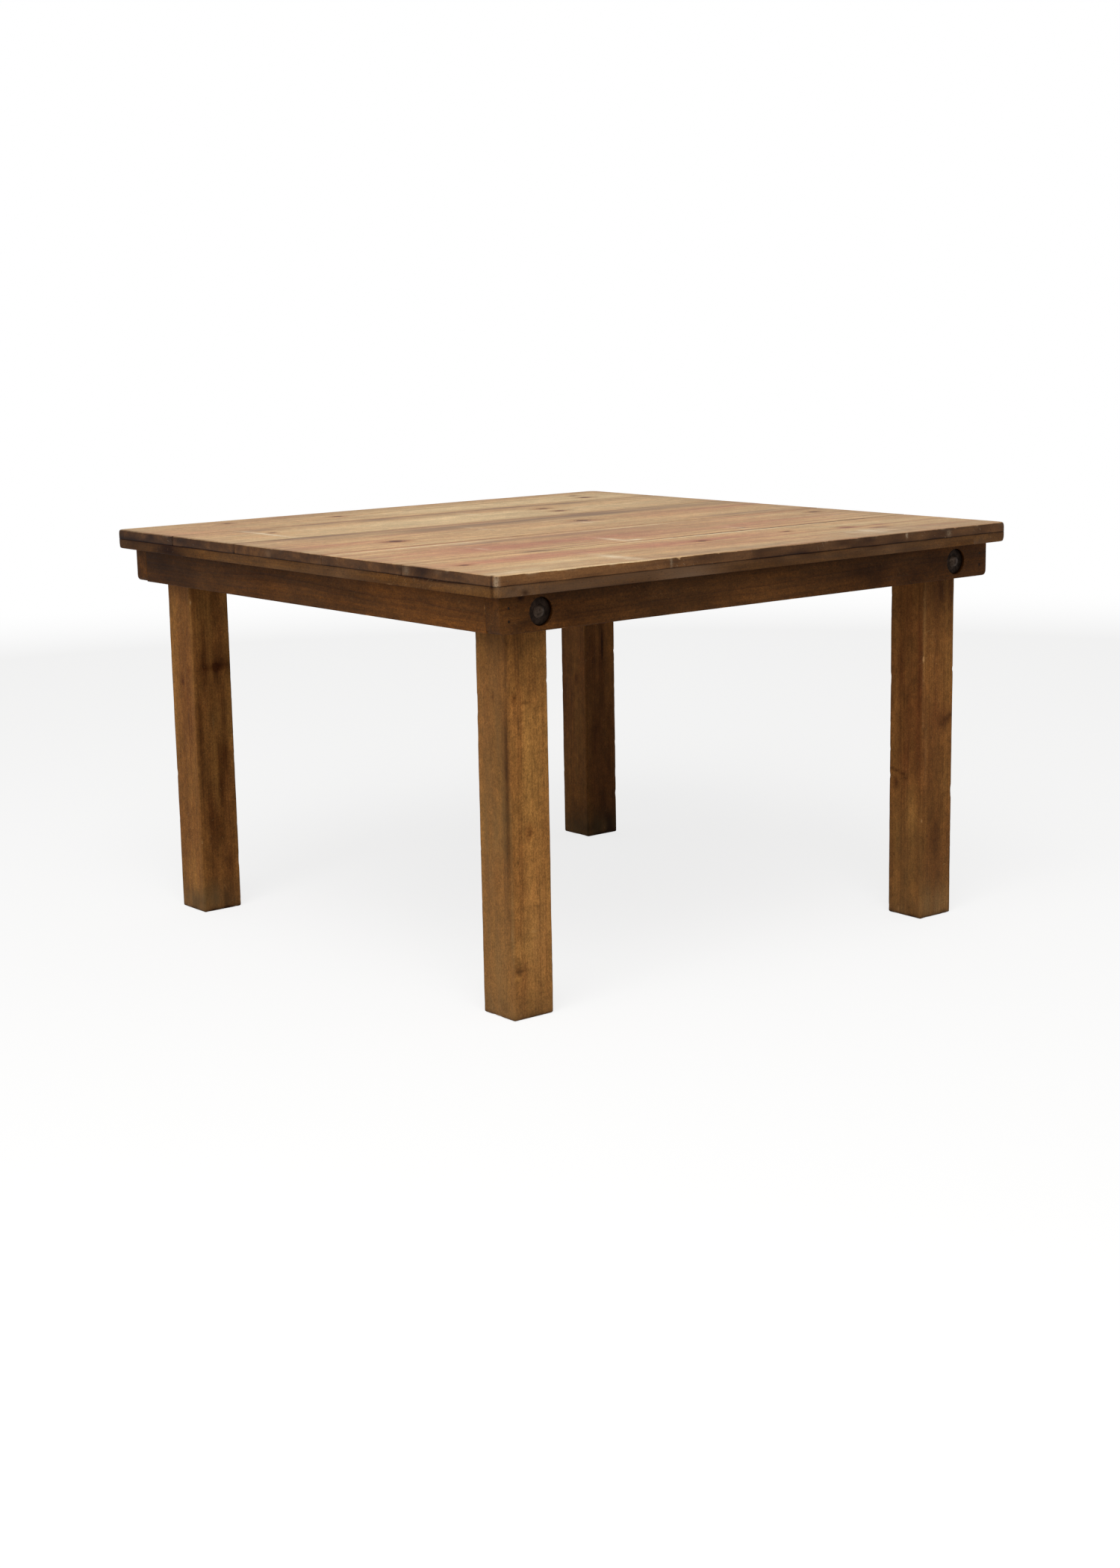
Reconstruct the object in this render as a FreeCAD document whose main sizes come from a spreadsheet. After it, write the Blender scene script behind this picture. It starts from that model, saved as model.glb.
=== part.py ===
import FreeCAD, Part
import os
import re
import Sketcher

# A square dining table of plain timber, in millimetres. It stands on the floor at z = 0, centred on x and y.
# The boards and the long side aprons run along x, and the end aprons fit between the side aprons along y.
# Each leg turns on one bolt through its side apron, so it folds inwards in the xz plane.

DIMENSIONS = [
    ("table_height", 762.0, "floor to the top of the boards"),
    ("top_length", 1219.0, "length of the boards"),
    ("board_1_width", 212.0, "board at the far edge"),
    ("board_2_width", 221.0, "second board from the far edge"),
    ("board_3_width", 286.0, "middle board"),
    ("board_4_width", 239.0, "second board from the near edge"),
    ("board_5_width", 257.0, "board at the near edge"),
    ("board_gap", 1.0, "seam between two boards"),
    ("board_thickness", 18.0, "thickness of the boards"),
    ("batten_thickness", 18.0, "thickness of battens, strips and cleat"),
    ("batten_width", 89.0, "width of the end battens and the cleat"),
    ("overhang", 25.0, "edge of the top past the aprons"),
    ("apron_thickness", 38.0, "thickness of the aprons"),
    ("apron_height", 64.0, "height of the aprons"),
    ("apron_corner_radius", 9.0, "lower end corners of the side aprons"),
    ("leg_size", 85.0, "side of the square post"),
    ("leg_arris_radius", 4.5, "rounding of the post's long edges"),
    ("leg_end_gap", 5.0, "leg to end apron"),
    ("leg_head_rise", 31.0, "flat top of a leg above its bolt"),
    ("leg_top_gap", 1.0, "flat top of a leg to the end batten"),
    ("leg_slope_low", 2.0, "lower end of the slope on a leg's head, below its bolt"),
    ("swing_clear", 1.0, "least gap round a leg's head as it swings"),
    ("recess_diameter", 48.0, "round recess for a bolt head"),
    ("recess_depth", 8.0, "depth of that recess"),
    ("bolt_diameter", 10.0, "shank of a pivot bolt"),
    ("bolt_head_diameter", 24.6, "domed head of a pivot bolt"),
    ("bolt_head_height", 5.4, "height of the domed head"),
    ("bolt_neck_side", 10.4, "square neck under the head"),
    ("bolt_neck_length", 6.0, "length of the square neck"),
    ("bolt_clear", 0.3, "gap round the bolt in the leg and the washers"),
    ("bolt_end_length", 3.0, "thread past the nut"),
    ("head_washer_diameter", 45.0, "washer in the recess"),
    ("head_washer_thickness", 2.5, "thickness of that washer"),
    ("pivot_washer_diameter", 40.0, "washer between apron and leg"),
    ("pivot_washer_thickness", 1.5, "thickness of that washer"),
    ("running_gap", 0.2, "leg to the washer on each side of it"),
    ("nut_washer_diameter", 30.0, "washer under the nut"),
    ("nut_washer_thickness", 2.5, "thickness of that washer"),
    ("nut_across_flats", 17.0, "lock nut across its flats"),
    ("nut_height", 10.0, "height of the lock nut"),
    ("nut_collar_diameter", 15.0, "round collar of the lock nut"),
    ("nut_collar_height", 3.0, "height of that collar"),
    ("screw_diameter", 4.0, "screws that hold the boards"),
    ("screw_length", 30.0, "length of those screws"),
    ("screw_head_diameter", 8.0, "countersunk head"),
    ("screw_head_height", 2.4, "height of the countersunk head"),
    ("screw_clear", 0.3, "gap round a screw in the piece it holds"),
    ("screw_edge", 25.0, "screw to the edge of its board"),
    ("batten_screw_inset", 76.0, "batten screws from the end of the top"),
    ("strip_screw_inset", 12.5, "strip screws from the side edge of the top"),
    ("strip_screw_end", 60.0, "outermost strip screws from the ends of the strip"),
    ("cleat_clear", 20.0, "end of the cleat to a folded leg"),
    ("apron_screw_diameter", 5.0, "screws that hold the aprons"),
    ("apron_screw_bite", 14.0, "length of those screws above the apron"),
    ("apron_screw_head_diameter", 10.0, "pan head"),
    ("apron_screw_head_height", 3.5, "height of the pan head"),
    ("apron_screw_inset", 120.0, "outer apron screws from the leg bolt or the apron's end"),
    ("counterbore_diameter", 12.0, "hole for an apron screw's head"),
    ("counterbore_depth", 34.0, "depth of that hole from the apron's lower edge"),
    ("nail_diameter", 3.4, "corner nails"),
    ("nail_length", 75.0, "length of a corner nail"),
    ("nail_head_diameter", 5.5, "head of a corner nail"),
    ("nail_head_height", 1.5, "height of that head"),
    ("nail_edge", 21.0, "nail to the apron's upper or lower edge"),
    ("point_length", 6.0, "point of a screw or nail"),
]

# Places and sizes that follow from the dimensions. Depths run inwards from a side apron's outer face.
WORKED_OUT = {
    "half_length": "top_length / 2",
    "half_width": "(board_1_width + board_2_width + board_3_width + board_4_width + board_5_width"
                  " + 4 * board_gap) / 2",
    "frame_top": "table_height - board_thickness - batten_thickness",
    "apron_bottom": "frame_top - apron_height",
    "apron_end": "half_length - overhang",
    "apron_face": "half_width - overhang",
    "end_apron_inside": "apron_end - apron_thickness",
    "side_apron_inside": "apron_face - apron_thickness",
    "strip_half": "half_length - batten_width",
    "pivot_x": "end_apron_inside - leg_end_gap - leg_size / 2",
    "pivot_z": "frame_top - leg_top_gap - leg_head_rise",
    "head_seat_depth": "recess_depth - head_washer_thickness",
    "dome_radius": "((bolt_head_diameter / 2) ^ 2 + bolt_head_height ^ 2) / (2 * bolt_head_height)",
    "leg_depth": "apron_thickness + pivot_washer_thickness + running_gap",
    "nut_washer_depth": "leg_depth + leg_size + running_gap",
    "nut_depth": "nut_washer_depth + nut_washer_thickness",
    "bolt_end_depth": "nut_depth + nut_height + bolt_end_length",
    "cleat_half": "apron_face - leg_depth - leg_size - cleat_clear",
    "outer_swing": "leg_size / 2 + leg_end_gap - swing_clear",
    "batten_edge_reach": "strip_half - pivot_x",
    "inner_swing": "sqrt(batten_edge_reach ^ 2 + (leg_head_rise + leg_top_gap) ^ 2) - swing_clear",
    "apron_screw_length": "apron_height - counterbore_depth + apron_screw_bite",
}
NAME = re.compile(r"[a-z][a-z_0-9]*")
SHEET_NAMES = {alias for alias, size, meaning in DIMENSIONS}

NEAR, FAR = -1, 1
LEFT, RIGHT = -1, 1
SIDES = {"near": NEAR, "far": FAR}
ENDS = {"left": LEFT, "right": RIGHT}
X_AXIS = FreeCAD.Vector(1, 0, 0)
Z_AXIS = FreeCAD.Vector(0, 0, 1)

# Fasteners are drawn with z as the way they are driven, then turned: upwards, or inwards from a side apron.
UPWARDS = FreeCAD.Rotation()
INWARDS = {NEAR: FreeCAD.Rotation(X_AXIS, -90), FAR: FreeCAD.Rotation(X_AXIS, 90)}

doc = FreeCAD.newDocument("square_folding_table")
dims = doc.addObject("Spreadsheet::Sheet", "dims")
for row, (alias, size, meaning) in enumerate(DIMENSIONS, start=1):
    dims.set(f"A{row}", meaning)
    dims.set(f"B{row}", str(size))
    dims.setAlias(f"B{row}", alias)
doc.recompute()

nodes = []


def formula(text):
    """Writes a size out for the document: sheet names get their sheet, worked-out names get their formula."""
    def write_out(match):
        name = match.group()
        if name in SHEET_NAMES:
            return f"dims.{name}"
        if name in WORKED_OUT:
            return f"({formula(WORKED_OUT[name])})"
        return name
    return NAME.sub(write_out, text)


def bind(thing, **sizes):
    """Ties each named property of a thing to its formula."""
    for name, text in sizes.items():
        thing.setExpression(name, formula(text))
    return thing


def place(thing, x="0", y="0", z="0", turn=UPWARDS):
    """Turns a thing, and ties its place to three formulas."""
    thing.Placement = FreeCAD.Placement(FreeCAD.Vector(), turn)
    for axis, text in (("x", x), ("y", y), ("z", z)):
        thing.setExpression(f"Placement.Base.{axis}", formula(text))
    return thing


def low_end(side, inner, outer):
    """Low end of a span that runs from inner to outer on one side of the middle."""
    return inner if side > 0 else f"-({outer})"


def box(name, x, y, z, length, width, height):
    """A block, from its low corner and its three sides."""
    block = doc.addObject("Part::Box", name)
    bind(block, Length=length, Width=width, Height=height)
    return place(block, x, y, z)


def rod(name, start, diameter, length):
    """A cylinder on the z axis."""
    bar = doc.addObject("Part::Cylinder", name)
    bind(bar, Radius=f"({diameter}) / 2", Height=length)
    return place(bar, z=start)


def taper(name, start, first_diameter, last_diameter, length):
    """A cone on the z axis, cut short or pointed."""
    cone = doc.addObject("Part::Cone", name)
    bind(cone, Radius1=f"({first_diameter}) / 2", Radius2=f"({last_diameter}) / 2", Height=length)
    return place(cone, z=start)


def square_bar(name, start, side, length):
    """A square bar on the z axis."""
    return box(name, f"-({side}) / 2", f"-({side}) / 2", start, side, side, length)


def joined(name, pieces):
    """Several shapes as one solid."""
    whole = doc.addObject("Part::MultiFuse", name)
    whole.Shapes = pieces
    return whole


def without(name, base, tools):
    """A shape with the space of some others taken out of it."""
    together = doc.addObject("Part::Compound", f"{name}_tools")
    together.Links = tools
    rest = doc.addObject("Part::Cut", name)
    rest.Base = base
    rest.Tool = together
    return rest


def copies(name, pattern, places):
    """One shape set at many places, each given as x, y, z and a turn."""
    links = []
    for number, (x, y, z, turn) in enumerate(places, start=1):
        link = doc.addObject("App::Link", f"{name}_{number}")
        link.LinkedObject = pattern
        links.append(place(link, x, y, z, turn))
    group = doc.addObject("Part::Compound", name)
    group.Links = links
    return group


def node(name, shape):
    """Names a finished sub-part, which gets a file of its own."""
    shape.Label = name
    nodes.append(shape)
    return shape


def outline(body, corners, hole_diameter=None):
    """A sketch on the body's xz plane, of straight lines and perhaps a round hole at the origin.
    Each corner is a sign and a distance from the origin along x, then the same along z."""
    sketch = body.newObject("Sketcher::SketchObject", f"{body.Name}_outline")
    plane = next(part for part in body.Origin.OriginFeatures if part.Role == "XZ_Plane")
    sketch.AttachmentSupport = [(plane, "")]
    sketch.MapMode = "FlatFace"
    rough = [FreeCAD.Vector(x_sign * (20 + number), z_sign * (20 + number), 0)
             for number, (x_sign, x, z_sign, z) in enumerate(corners)]
    for number, corner in enumerate(rough):
        sketch.addGeometry(Part.LineSegment(corner, rough[(number + 1) % len(rough)]))
    for number in range(len(corners)):
        sketch.addConstraint(Sketcher.Constraint("Coincident", number, 2, (number + 1) % len(corners), 1))
    for number, (x_sign, x, z_sign, z) in enumerate(corners):
        for kind, sign, text in (("DistanceX", x_sign, x), ("DistanceY", z_sign, z)):
            ends = (-1, 1, number, 1) if sign > 0 else (number, 1, -1, 1)
            held = sketch.addConstraint(Sketcher.Constraint(kind, *ends, 20.0 + number))
            sketch.setExpression(f"Constraints[{held}]", formula(text))
    if hole_diameter:
        hole = sketch.addGeometry(Part.Circle(FreeCAD.Vector(), Z_AXIS, 5.0))
        sketch.addConstraint(Sketcher.Constraint("Coincident", hole, 3, -1, 1))
        held = sketch.addConstraint(Sketcher.Constraint("Diameter", hole, 10.0))
        sketch.setExpression(f"Constraints[{held}]", formula(hole_diameter))
    return sketch


def padded_body(name, corners, thickness, hole_diameter=None):
    """A body of one outline, with its thickness half to each side of the xz plane."""
    body = doc.addObject("PartDesign::Body", name)
    pad = body.newObject("PartDesign::Pad", f"{name}_pad")
    pad.Profile = outline(body, corners, hole_diameter)
    pad.SideType = "Symmetric"
    bind(pad, Length=thickness)
    doc.recompute()
    return body


def round_edges(body, radius, chosen):
    """Rounds the chosen edges of a body."""
    sharp = body.Tip
    edges = [f"Edge{number}" for number, edge in enumerate(sharp.Shape.Edges, start=1) if chosen(edge)]
    fillet = body.newObject("PartDesign::Fillet", f"{body.Name}_rounding")
    fillet.Base = (sharp, edges)
    bind(fillet, Radius=radius)
    return body


# Screws that hold the boards: they come up through a batten, strip or cleat into the boards.
screw = joined("screw", [
    taper("screw_head", "0", "screw_head_diameter", "screw_diameter", "screw_head_height"),
    rod("screw_shank", "0", "screw_diameter", "screw_length - point_length"),
    taper("screw_point", "screw_length - point_length", "screw_diameter", "0", "point_length"),
])
screw_hole = joined("screw_hole", [
    taper("screw_sink", "0", "screw_head_diameter", "screw_diameter", "screw_head_height"),
    rod("screw_way", "0", "screw_diameter + 2 * screw_clear", "batten_thickness"),
    rod("screw_bite", "0", "screw_diameter", "screw_length"),
])

board_edges = []
far_edge = "half_width"
for number in range(1, 6):
    near_edge = f"{far_edge} - board_{number}_width"
    board_edges.append((near_edge, far_edge))
    far_edge = f"{near_edge} - board_gap"

# Each board has a screw near both of its edges, in both battens. The cleat is short of the two outer edges.
across = []
for near_edge, far_edge in board_edges:
    across.append(f"{far_edge} - screw_edge")
    across.append(f"{near_edge} + screw_edge")
batten_places = [(f"{end} * (half_length - batten_screw_inset)", y, "frame_top", UPWARDS)
                 for end in ENDS.values() for y in across]
cleat_places = [("0", y, "frame_top", UPWARDS) for y in across[1:-1]]
STRIP_SCREW_STEPS = (-1, -0.5, 0, 0.5, 1)
strip_places = [(f"{step} * (strip_half - strip_screw_end)", f"{side} * (half_width - strip_screw_inset)",
                 "frame_top", UPWARDS)
                for side in SIDES.values() for step in STRIP_SCREW_STEPS]
node("batten_screws", copies("batten_screws", screw, batten_places))
node("cleat_screws", copies("cleat_screws", screw, cleat_places))
node("strip_screws", copies("strip_screws", screw, strip_places))
batten_holes = copies("batten_holes", screw_hole, batten_places)
cleat_holes = copies("cleat_holes", screw_hole, cleat_places)
strip_holes = copies("strip_holes", screw_hole, strip_places)

# Screws that hold the aprons: their heads sit deep in holes in the aprons' lower edges.
apron_screw = joined("apron_screw", [
    rod("apron_screw_head", "-apron_screw_head_height", "apron_screw_head_diameter", "apron_screw_head_height"),
    rod("apron_screw_shank", "0", "apron_screw_diameter", "apron_screw_length - point_length"),
    taper("apron_screw_point", "apron_screw_length - point_length", "apron_screw_diameter", "0", "point_length"),
])
apron_screw_hole = joined("apron_screw_hole", [
    rod("apron_counterbore", "-counterbore_depth", "counterbore_diameter", "counterbore_depth"),
    rod("apron_screw_way", "0", "apron_screw_diameter + 2 * screw_clear", "apron_height - counterbore_depth"),
    rod("apron_screw_hold", "0", "apron_screw_diameter", "apron_screw_length"),
])
apron_screw_places = []
for step in (-1, 0, 1):
    for side in SIDES.values():
        apron_screw_places.append((f"{step} * (pivot_x - apron_screw_inset)",
                                   f"{side} * (apron_face - apron_thickness / 2)",
                                   "apron_bottom + counterbore_depth", UPWARDS))
    for end in ENDS.values():
        apron_screw_places.append((f"{end} * (apron_end - apron_thickness / 2)",
                                   f"{step} * (side_apron_inside - apron_screw_inset)",
                                   "apron_bottom + counterbore_depth", UPWARDS))
node("apron_screws", copies("apron_screws", apron_screw, apron_screw_places))
apron_screw_holes = copies("apron_screw_holes", apron_screw_hole, apron_screw_places)

# Nails at the corners: through a side apron into the end of an end apron. A driven nail fills its own hole.
nail = joined("nail", [
    rod("nail_head", "0", "nail_head_diameter", "nail_head_height"),
    rod("nail_shank", "0", "nail_diameter", "nail_length - point_length"),
    taper("nail_point", "nail_length - point_length", "nail_diameter", "0", "point_length"),
])
nail_places = [(f"{end} * (apron_end - apron_thickness / 2)", f"{side} * apron_face", z, INWARDS[side])
               for side in SIDES.values() for end in ENDS.values()
               for z in ("apron_bottom + nail_edge", "frame_top - nail_edge")]
corner_nails = node("corner_nails", copies("corner_nails", nail, nail_places))

# Pivot bolts and what sits on them, each drawn at its depth from the apron's outer face.
bolt_places = [(f"{end} * pivot_x", f"{side} * apron_face", "pivot_z", INWARDS[side])
               for side in SIDES.values() for end in ENDS.values()]
dome = doc.addObject("Part::Sphere", "bolt_dome")
bind(dome, Radius="dome_radius", Angle1="asin(1 - bolt_head_height / dome_radius)")
HEAD_OUTWARDS = FreeCAD.Rotation(X_AXIS, 180)
place(dome, z="head_seat_depth + dome_radius - bolt_head_height", turn=HEAD_OUTWARDS)
bolt = joined("bolt", [
    dome,
    square_bar("bolt_neck", "head_seat_depth", "bolt_neck_side", "bolt_neck_length"),
    rod("bolt_shank", "head_seat_depth", "bolt_diameter", "bolt_end_depth - head_seat_depth"),
])
head_washer = without(
    "head_washer",
    rod("head_washer_disc", "head_seat_depth", "head_washer_diameter", "head_washer_thickness"),
    [square_bar("head_washer_hole", "head_seat_depth", "bolt_neck_side + 2 * bolt_clear",
                "head_washer_thickness")])
pivot_washer = without(
    "pivot_washer",
    rod("pivot_washer_disc", "apron_thickness", "pivot_washer_diameter", "pivot_washer_thickness"),
    [rod("pivot_washer_hole", "apron_thickness", "bolt_diameter + 2 * bolt_clear", "pivot_washer_thickness")])
nut_washer = without(
    "nut_washer",
    rod("nut_washer_disc", "nut_washer_depth", "nut_washer_diameter", "nut_washer_thickness"),
    [rod("nut_washer_hole", "nut_washer_depth", "bolt_diameter + 2 * bolt_clear", "nut_washer_thickness")])
hexagon = doc.addObject("Part::Prism", "nut_hexagon")
hexagon.Polygon = 6
bind(hexagon, Circumradius="nut_across_flats / sqrt(3)", Height="nut_height - nut_collar_height")
place(hexagon, z="nut_depth")
collar = rod("nut_collar", "nut_depth", "nut_collar_diameter", "nut_height")
lock_nut = without("lock_nut", joined("nut_outside", [hexagon, collar]),
                   [rod("nut_thread", "nut_depth", "bolt_diameter", "nut_height")])
node("pivot_bolts", copies("pivot_bolts", bolt, bolt_places))
node("head_washers", copies("head_washers", head_washer, bolt_places))
node("pivot_washers", copies("pivot_washers", pivot_washer, bolt_places))
node("nut_washers", copies("nut_washers", nut_washer, bolt_places))
node("lock_nuts", copies("lock_nuts", lock_nut, bolt_places))
bolt_hole = joined("bolt_hole", [
    rod("bolt_recess", "0", "recess_diameter", "recess_depth"),
    square_bar("bolt_socket", "head_seat_depth", "bolt_neck_side", "bolt_neck_length"),
    rod("bolt_way", "0", "bolt_diameter + 2 * bolt_clear", "apron_thickness"),
])
bolt_holes = copies("bolt_holes", bolt_hole, bolt_places)

# Top boards, laid side by side along x, from the far edge to the near edge.
for number, (near_edge, far_edge) in enumerate(board_edges, start=1):
    name = f"top_board_{number}"
    timber = box(f"{name}_timber", "-half_length", near_edge, "table_height - board_thickness",
                 "top_length", f"board_{number}_width", "board_thickness")
    node(name, without(name, timber, [batten_holes, cleat_holes, strip_holes]))

# End battens across the boards, strips between them along the side edges, and a cleat under the middle.
for end_name, end in ENDS.items():
    name = f"end_batten_{end_name}"
    timber = box(f"{name}_timber", low_end(end, "strip_half", "half_length"), "-half_width", "frame_top",
                 "batten_width", "2 * half_width", "batten_thickness")
    node(name, without(name, timber, [batten_holes, apron_screw_holes]))
for side_name, side in SIDES.items():
    name = f"side_strip_{side_name}"
    timber = box(f"{name}_timber", "-strip_half", low_end(side, "side_apron_inside", "half_width"), "frame_top",
                 "2 * strip_half", "overhang + apron_thickness", "batten_thickness")
    node(name, without(name, timber, [strip_holes, apron_screw_holes]))
cleat_timber = box("cross_cleat_timber", "-batten_width / 2", "-cleat_half", "frame_top",
                   "batten_width", "2 * cleat_half", "batten_thickness")
node("cross_cleat", without("cross_cleat", cleat_timber, [cleat_holes]))

# Side aprons: full length, with the lower corners of both ends rounded.
SIDE_APRON_CORNERS = [
    (-1, "apron_end", -1, "apron_height / 2"),
    (1, "apron_end", -1, "apron_height / 2"),
    (1, "apron_end", 1, "apron_height / 2"),
    (-1, "apron_end", 1, "apron_height / 2"),
]
SAME = 1e-6


def is_lower_corner(edge):
    """True for an edge of an apron that runs through its thickness at the lower end of its ends."""
    first, last = edge.Vertexes[0].Point, edge.Vertexes[-1].Point
    across_thickness = abs(first.x - last.x) < SAME and abs(first.z - last.z) < SAME
    return across_thickness and first.z < 0


for side_name, side in SIDES.items():
    name = f"side_apron_{side_name}"
    timber = padded_body(f"{name}_timber", SIDE_APRON_CORNERS, "apron_thickness")
    round_edges(timber, "apron_corner_radius", is_lower_corner)
    place(timber, "0", f"{side} * (apron_face - apron_thickness / 2)", "frame_top - apron_height / 2")
    node(name, without(name, timber, [bolt_holes, corner_nails, apron_screw_holes]))

# End aprons, butted between the side aprons.
for end_name, end in ENDS.items():
    name = f"end_apron_{end_name}"
    timber = box(f"{name}_timber", low_end(end, "end_apron_inside", "apron_end"), "-side_apron_inside",
                 "apron_bottom", "apron_thickness", "2 * side_apron_inside", "apron_height")
    node(name, without(name, timber, [corner_nails, apron_screw_holes]))

# Legs: square posts drawn about their bolt, with the outer side at -x. The corners of the head are cut back so
# that it turns clear of the end apron on the outer side, and of the end batten's edge on the inner side.
LEG_CORNERS = [
    (-1, "leg_size / 2", -1, "pivot_z"),
    (1, "leg_size / 2", -1, "pivot_z"),
    (1, "leg_size / 2", -1, "leg_slope_low"),
    (1, "sqrt(inner_swing ^ 2 - leg_head_rise ^ 2)", 1, "leg_head_rise"),
    (-1, "sqrt(outer_swing ^ 2 - leg_head_rise ^ 2)", 1, "leg_head_rise"),
    (-1, "leg_size / 2", 1, "sqrt(outer_swing ^ 2 - (leg_size / 2) ^ 2)"),
]
LEGS = {"front": (LEFT, NEAR), "left": (LEFT, FAR), "right": (RIGHT, NEAR), "back": (RIGHT, FAR)}


def is_arris(edge):
    """True for a long upright edge of a leg."""
    first, last = edge.Vertexes[0].Point, edge.Vertexes[-1].Point
    return abs(first.x - last.x) < SAME and abs(first.y - last.y) < SAME and len(edge.Vertexes) == 2


for leg_name, (end, side) in LEGS.items():
    leg = padded_body(f"leg_{leg_name}", LEG_CORNERS, "leg_size", "bolt_diameter + 2 * bolt_clear")
    round_edges(leg, "leg_arris_radius", is_arris)
    facing = FreeCAD.Rotation(Z_AXIS, 0 if end == LEFT else 180)
    place(leg, f"{end} * pivot_x", f"{side} * (apron_face - leg_depth - leg_size / 2)", "pivot_z", facing)
    node(f"leg_{leg_name}", leg)

doc.recompute()
for thing in doc.Objects:
    if "Invalid" in thing.State or "Error" in thing.State:
        raise RuntimeError(f"{thing.Label} did not build: {thing.State}")
for sub_part in nodes:
    if sub_part.Shape.isNull() or not sub_part.Shape.isValid() or not sub_part.Shape.Solids:
        raise RuntimeError(f"{sub_part.Label} has no valid solid")

os.makedirs("parts", exist_ok=True)
for sub_part in nodes:
    sub_part.Shape.exportStep(os.path.join("parts", f"{sub_part.Label}.step"))
    print(f"{sub_part.Label}: {len(sub_part.Shape.Solids)} solids, {sub_part.Shape.Volume / 1000:.1f} cm3")
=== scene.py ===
import math
from functools import partial

import bpy
import numpy as np
from mathutils import Matrix, Vector


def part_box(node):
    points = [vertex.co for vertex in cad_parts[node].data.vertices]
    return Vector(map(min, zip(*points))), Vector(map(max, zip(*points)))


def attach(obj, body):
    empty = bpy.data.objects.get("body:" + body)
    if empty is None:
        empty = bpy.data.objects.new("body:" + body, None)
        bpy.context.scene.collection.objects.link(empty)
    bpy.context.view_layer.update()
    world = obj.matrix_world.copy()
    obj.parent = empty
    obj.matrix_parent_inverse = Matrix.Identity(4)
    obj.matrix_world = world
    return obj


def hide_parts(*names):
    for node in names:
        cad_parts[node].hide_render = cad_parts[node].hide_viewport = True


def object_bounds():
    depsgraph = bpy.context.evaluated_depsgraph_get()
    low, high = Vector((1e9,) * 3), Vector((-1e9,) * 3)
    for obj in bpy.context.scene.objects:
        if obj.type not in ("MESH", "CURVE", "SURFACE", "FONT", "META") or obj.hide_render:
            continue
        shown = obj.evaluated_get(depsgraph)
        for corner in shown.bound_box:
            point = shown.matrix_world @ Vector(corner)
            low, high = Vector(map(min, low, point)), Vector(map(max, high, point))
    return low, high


# Square dining table of plain softwood: five boards on battens, an apron frame, and four square posts that
# fold on one bolt each. All sizes are in mm here, and turned to metres where a mesh is written.
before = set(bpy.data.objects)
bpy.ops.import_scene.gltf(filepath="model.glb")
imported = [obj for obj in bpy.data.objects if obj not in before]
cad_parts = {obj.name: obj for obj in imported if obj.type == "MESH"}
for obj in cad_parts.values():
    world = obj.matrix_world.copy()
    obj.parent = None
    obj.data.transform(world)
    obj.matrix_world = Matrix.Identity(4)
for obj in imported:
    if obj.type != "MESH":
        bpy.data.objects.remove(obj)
cad_low, cad_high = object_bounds()


# Top boards: five softwood boards of unequal width, laid side by side with their grain along x. They were
# sawn, planed and stained, and use has rubbed the tops pale, while edges and ends keep the old brown.
# Screws from the battens, strips and cleat below hold them.
BOARD_STEP = (4.5, 2.8, 4.0)
# How far wear goes in at arrises, joints, edges and corners.
BOARD_ARRIS = 3.2
ARRIS_REACH = 4.5
JOINT_WIDTH = 2.2
EDGE_SKIN = 3.5
FLAKE_HEIGHT = 7.0
TOP_CORNER = 7.0
FRONT_CORNER = 10.0
CORNER_BLUNT = 5.0
CORNER_REACH = 16.0
CORNER_RISE = 6.0
CORNER_SCUFF = 9.0
half_top = cad_high[0] * 1000
left_face, near_face = cad_low[0] * 1000, cad_low[1] * 1000
BOARDS = {
    "top_board_1": {
        "figure": {"pith": (-30, -88), "ring": 4.4, "lean": 22, "seed": 11}, "warm": 0.05,
        "knots": [(-157, 508, 9), (474, 474, 11), (488, 533, 7), (-396, 548, 6)],
    },
    "top_board_2": {
        "figure": {"pith": (25, -110), "ring": 4.0, "lean": -18, "seed": 12}, "warm": -0.1,
        "knots": [(231, 320, 11), (222, 252, 11), (-444, 305, 6)],
    },
    "top_board_3": {
        "figure": {"pith": (-48, -80), "ring": 4.8, "lean": 26, "seed": 13}, "warm": -0.02,
        "knots": [(-383, -17, 13), (109, 43, 14)],
    },
    "top_board_4": {
        "figure": {"pith": (40, -100), "ring": 4.2, "lean": -24, "seed": 14}, "warm": 0.05,
        "knots": [(206, -313, 5), (536, -172, 9)],
    },
    "top_board_5": {
        "figure": {"pith": (-20, -92), "ring": 4.5, "lean": 20, "seed": 15}, "warm": 0.0,
        "knots": [(-13, -440, 8), (-544, -440, 7), (209, -427, 6)],
    },
}
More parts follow.
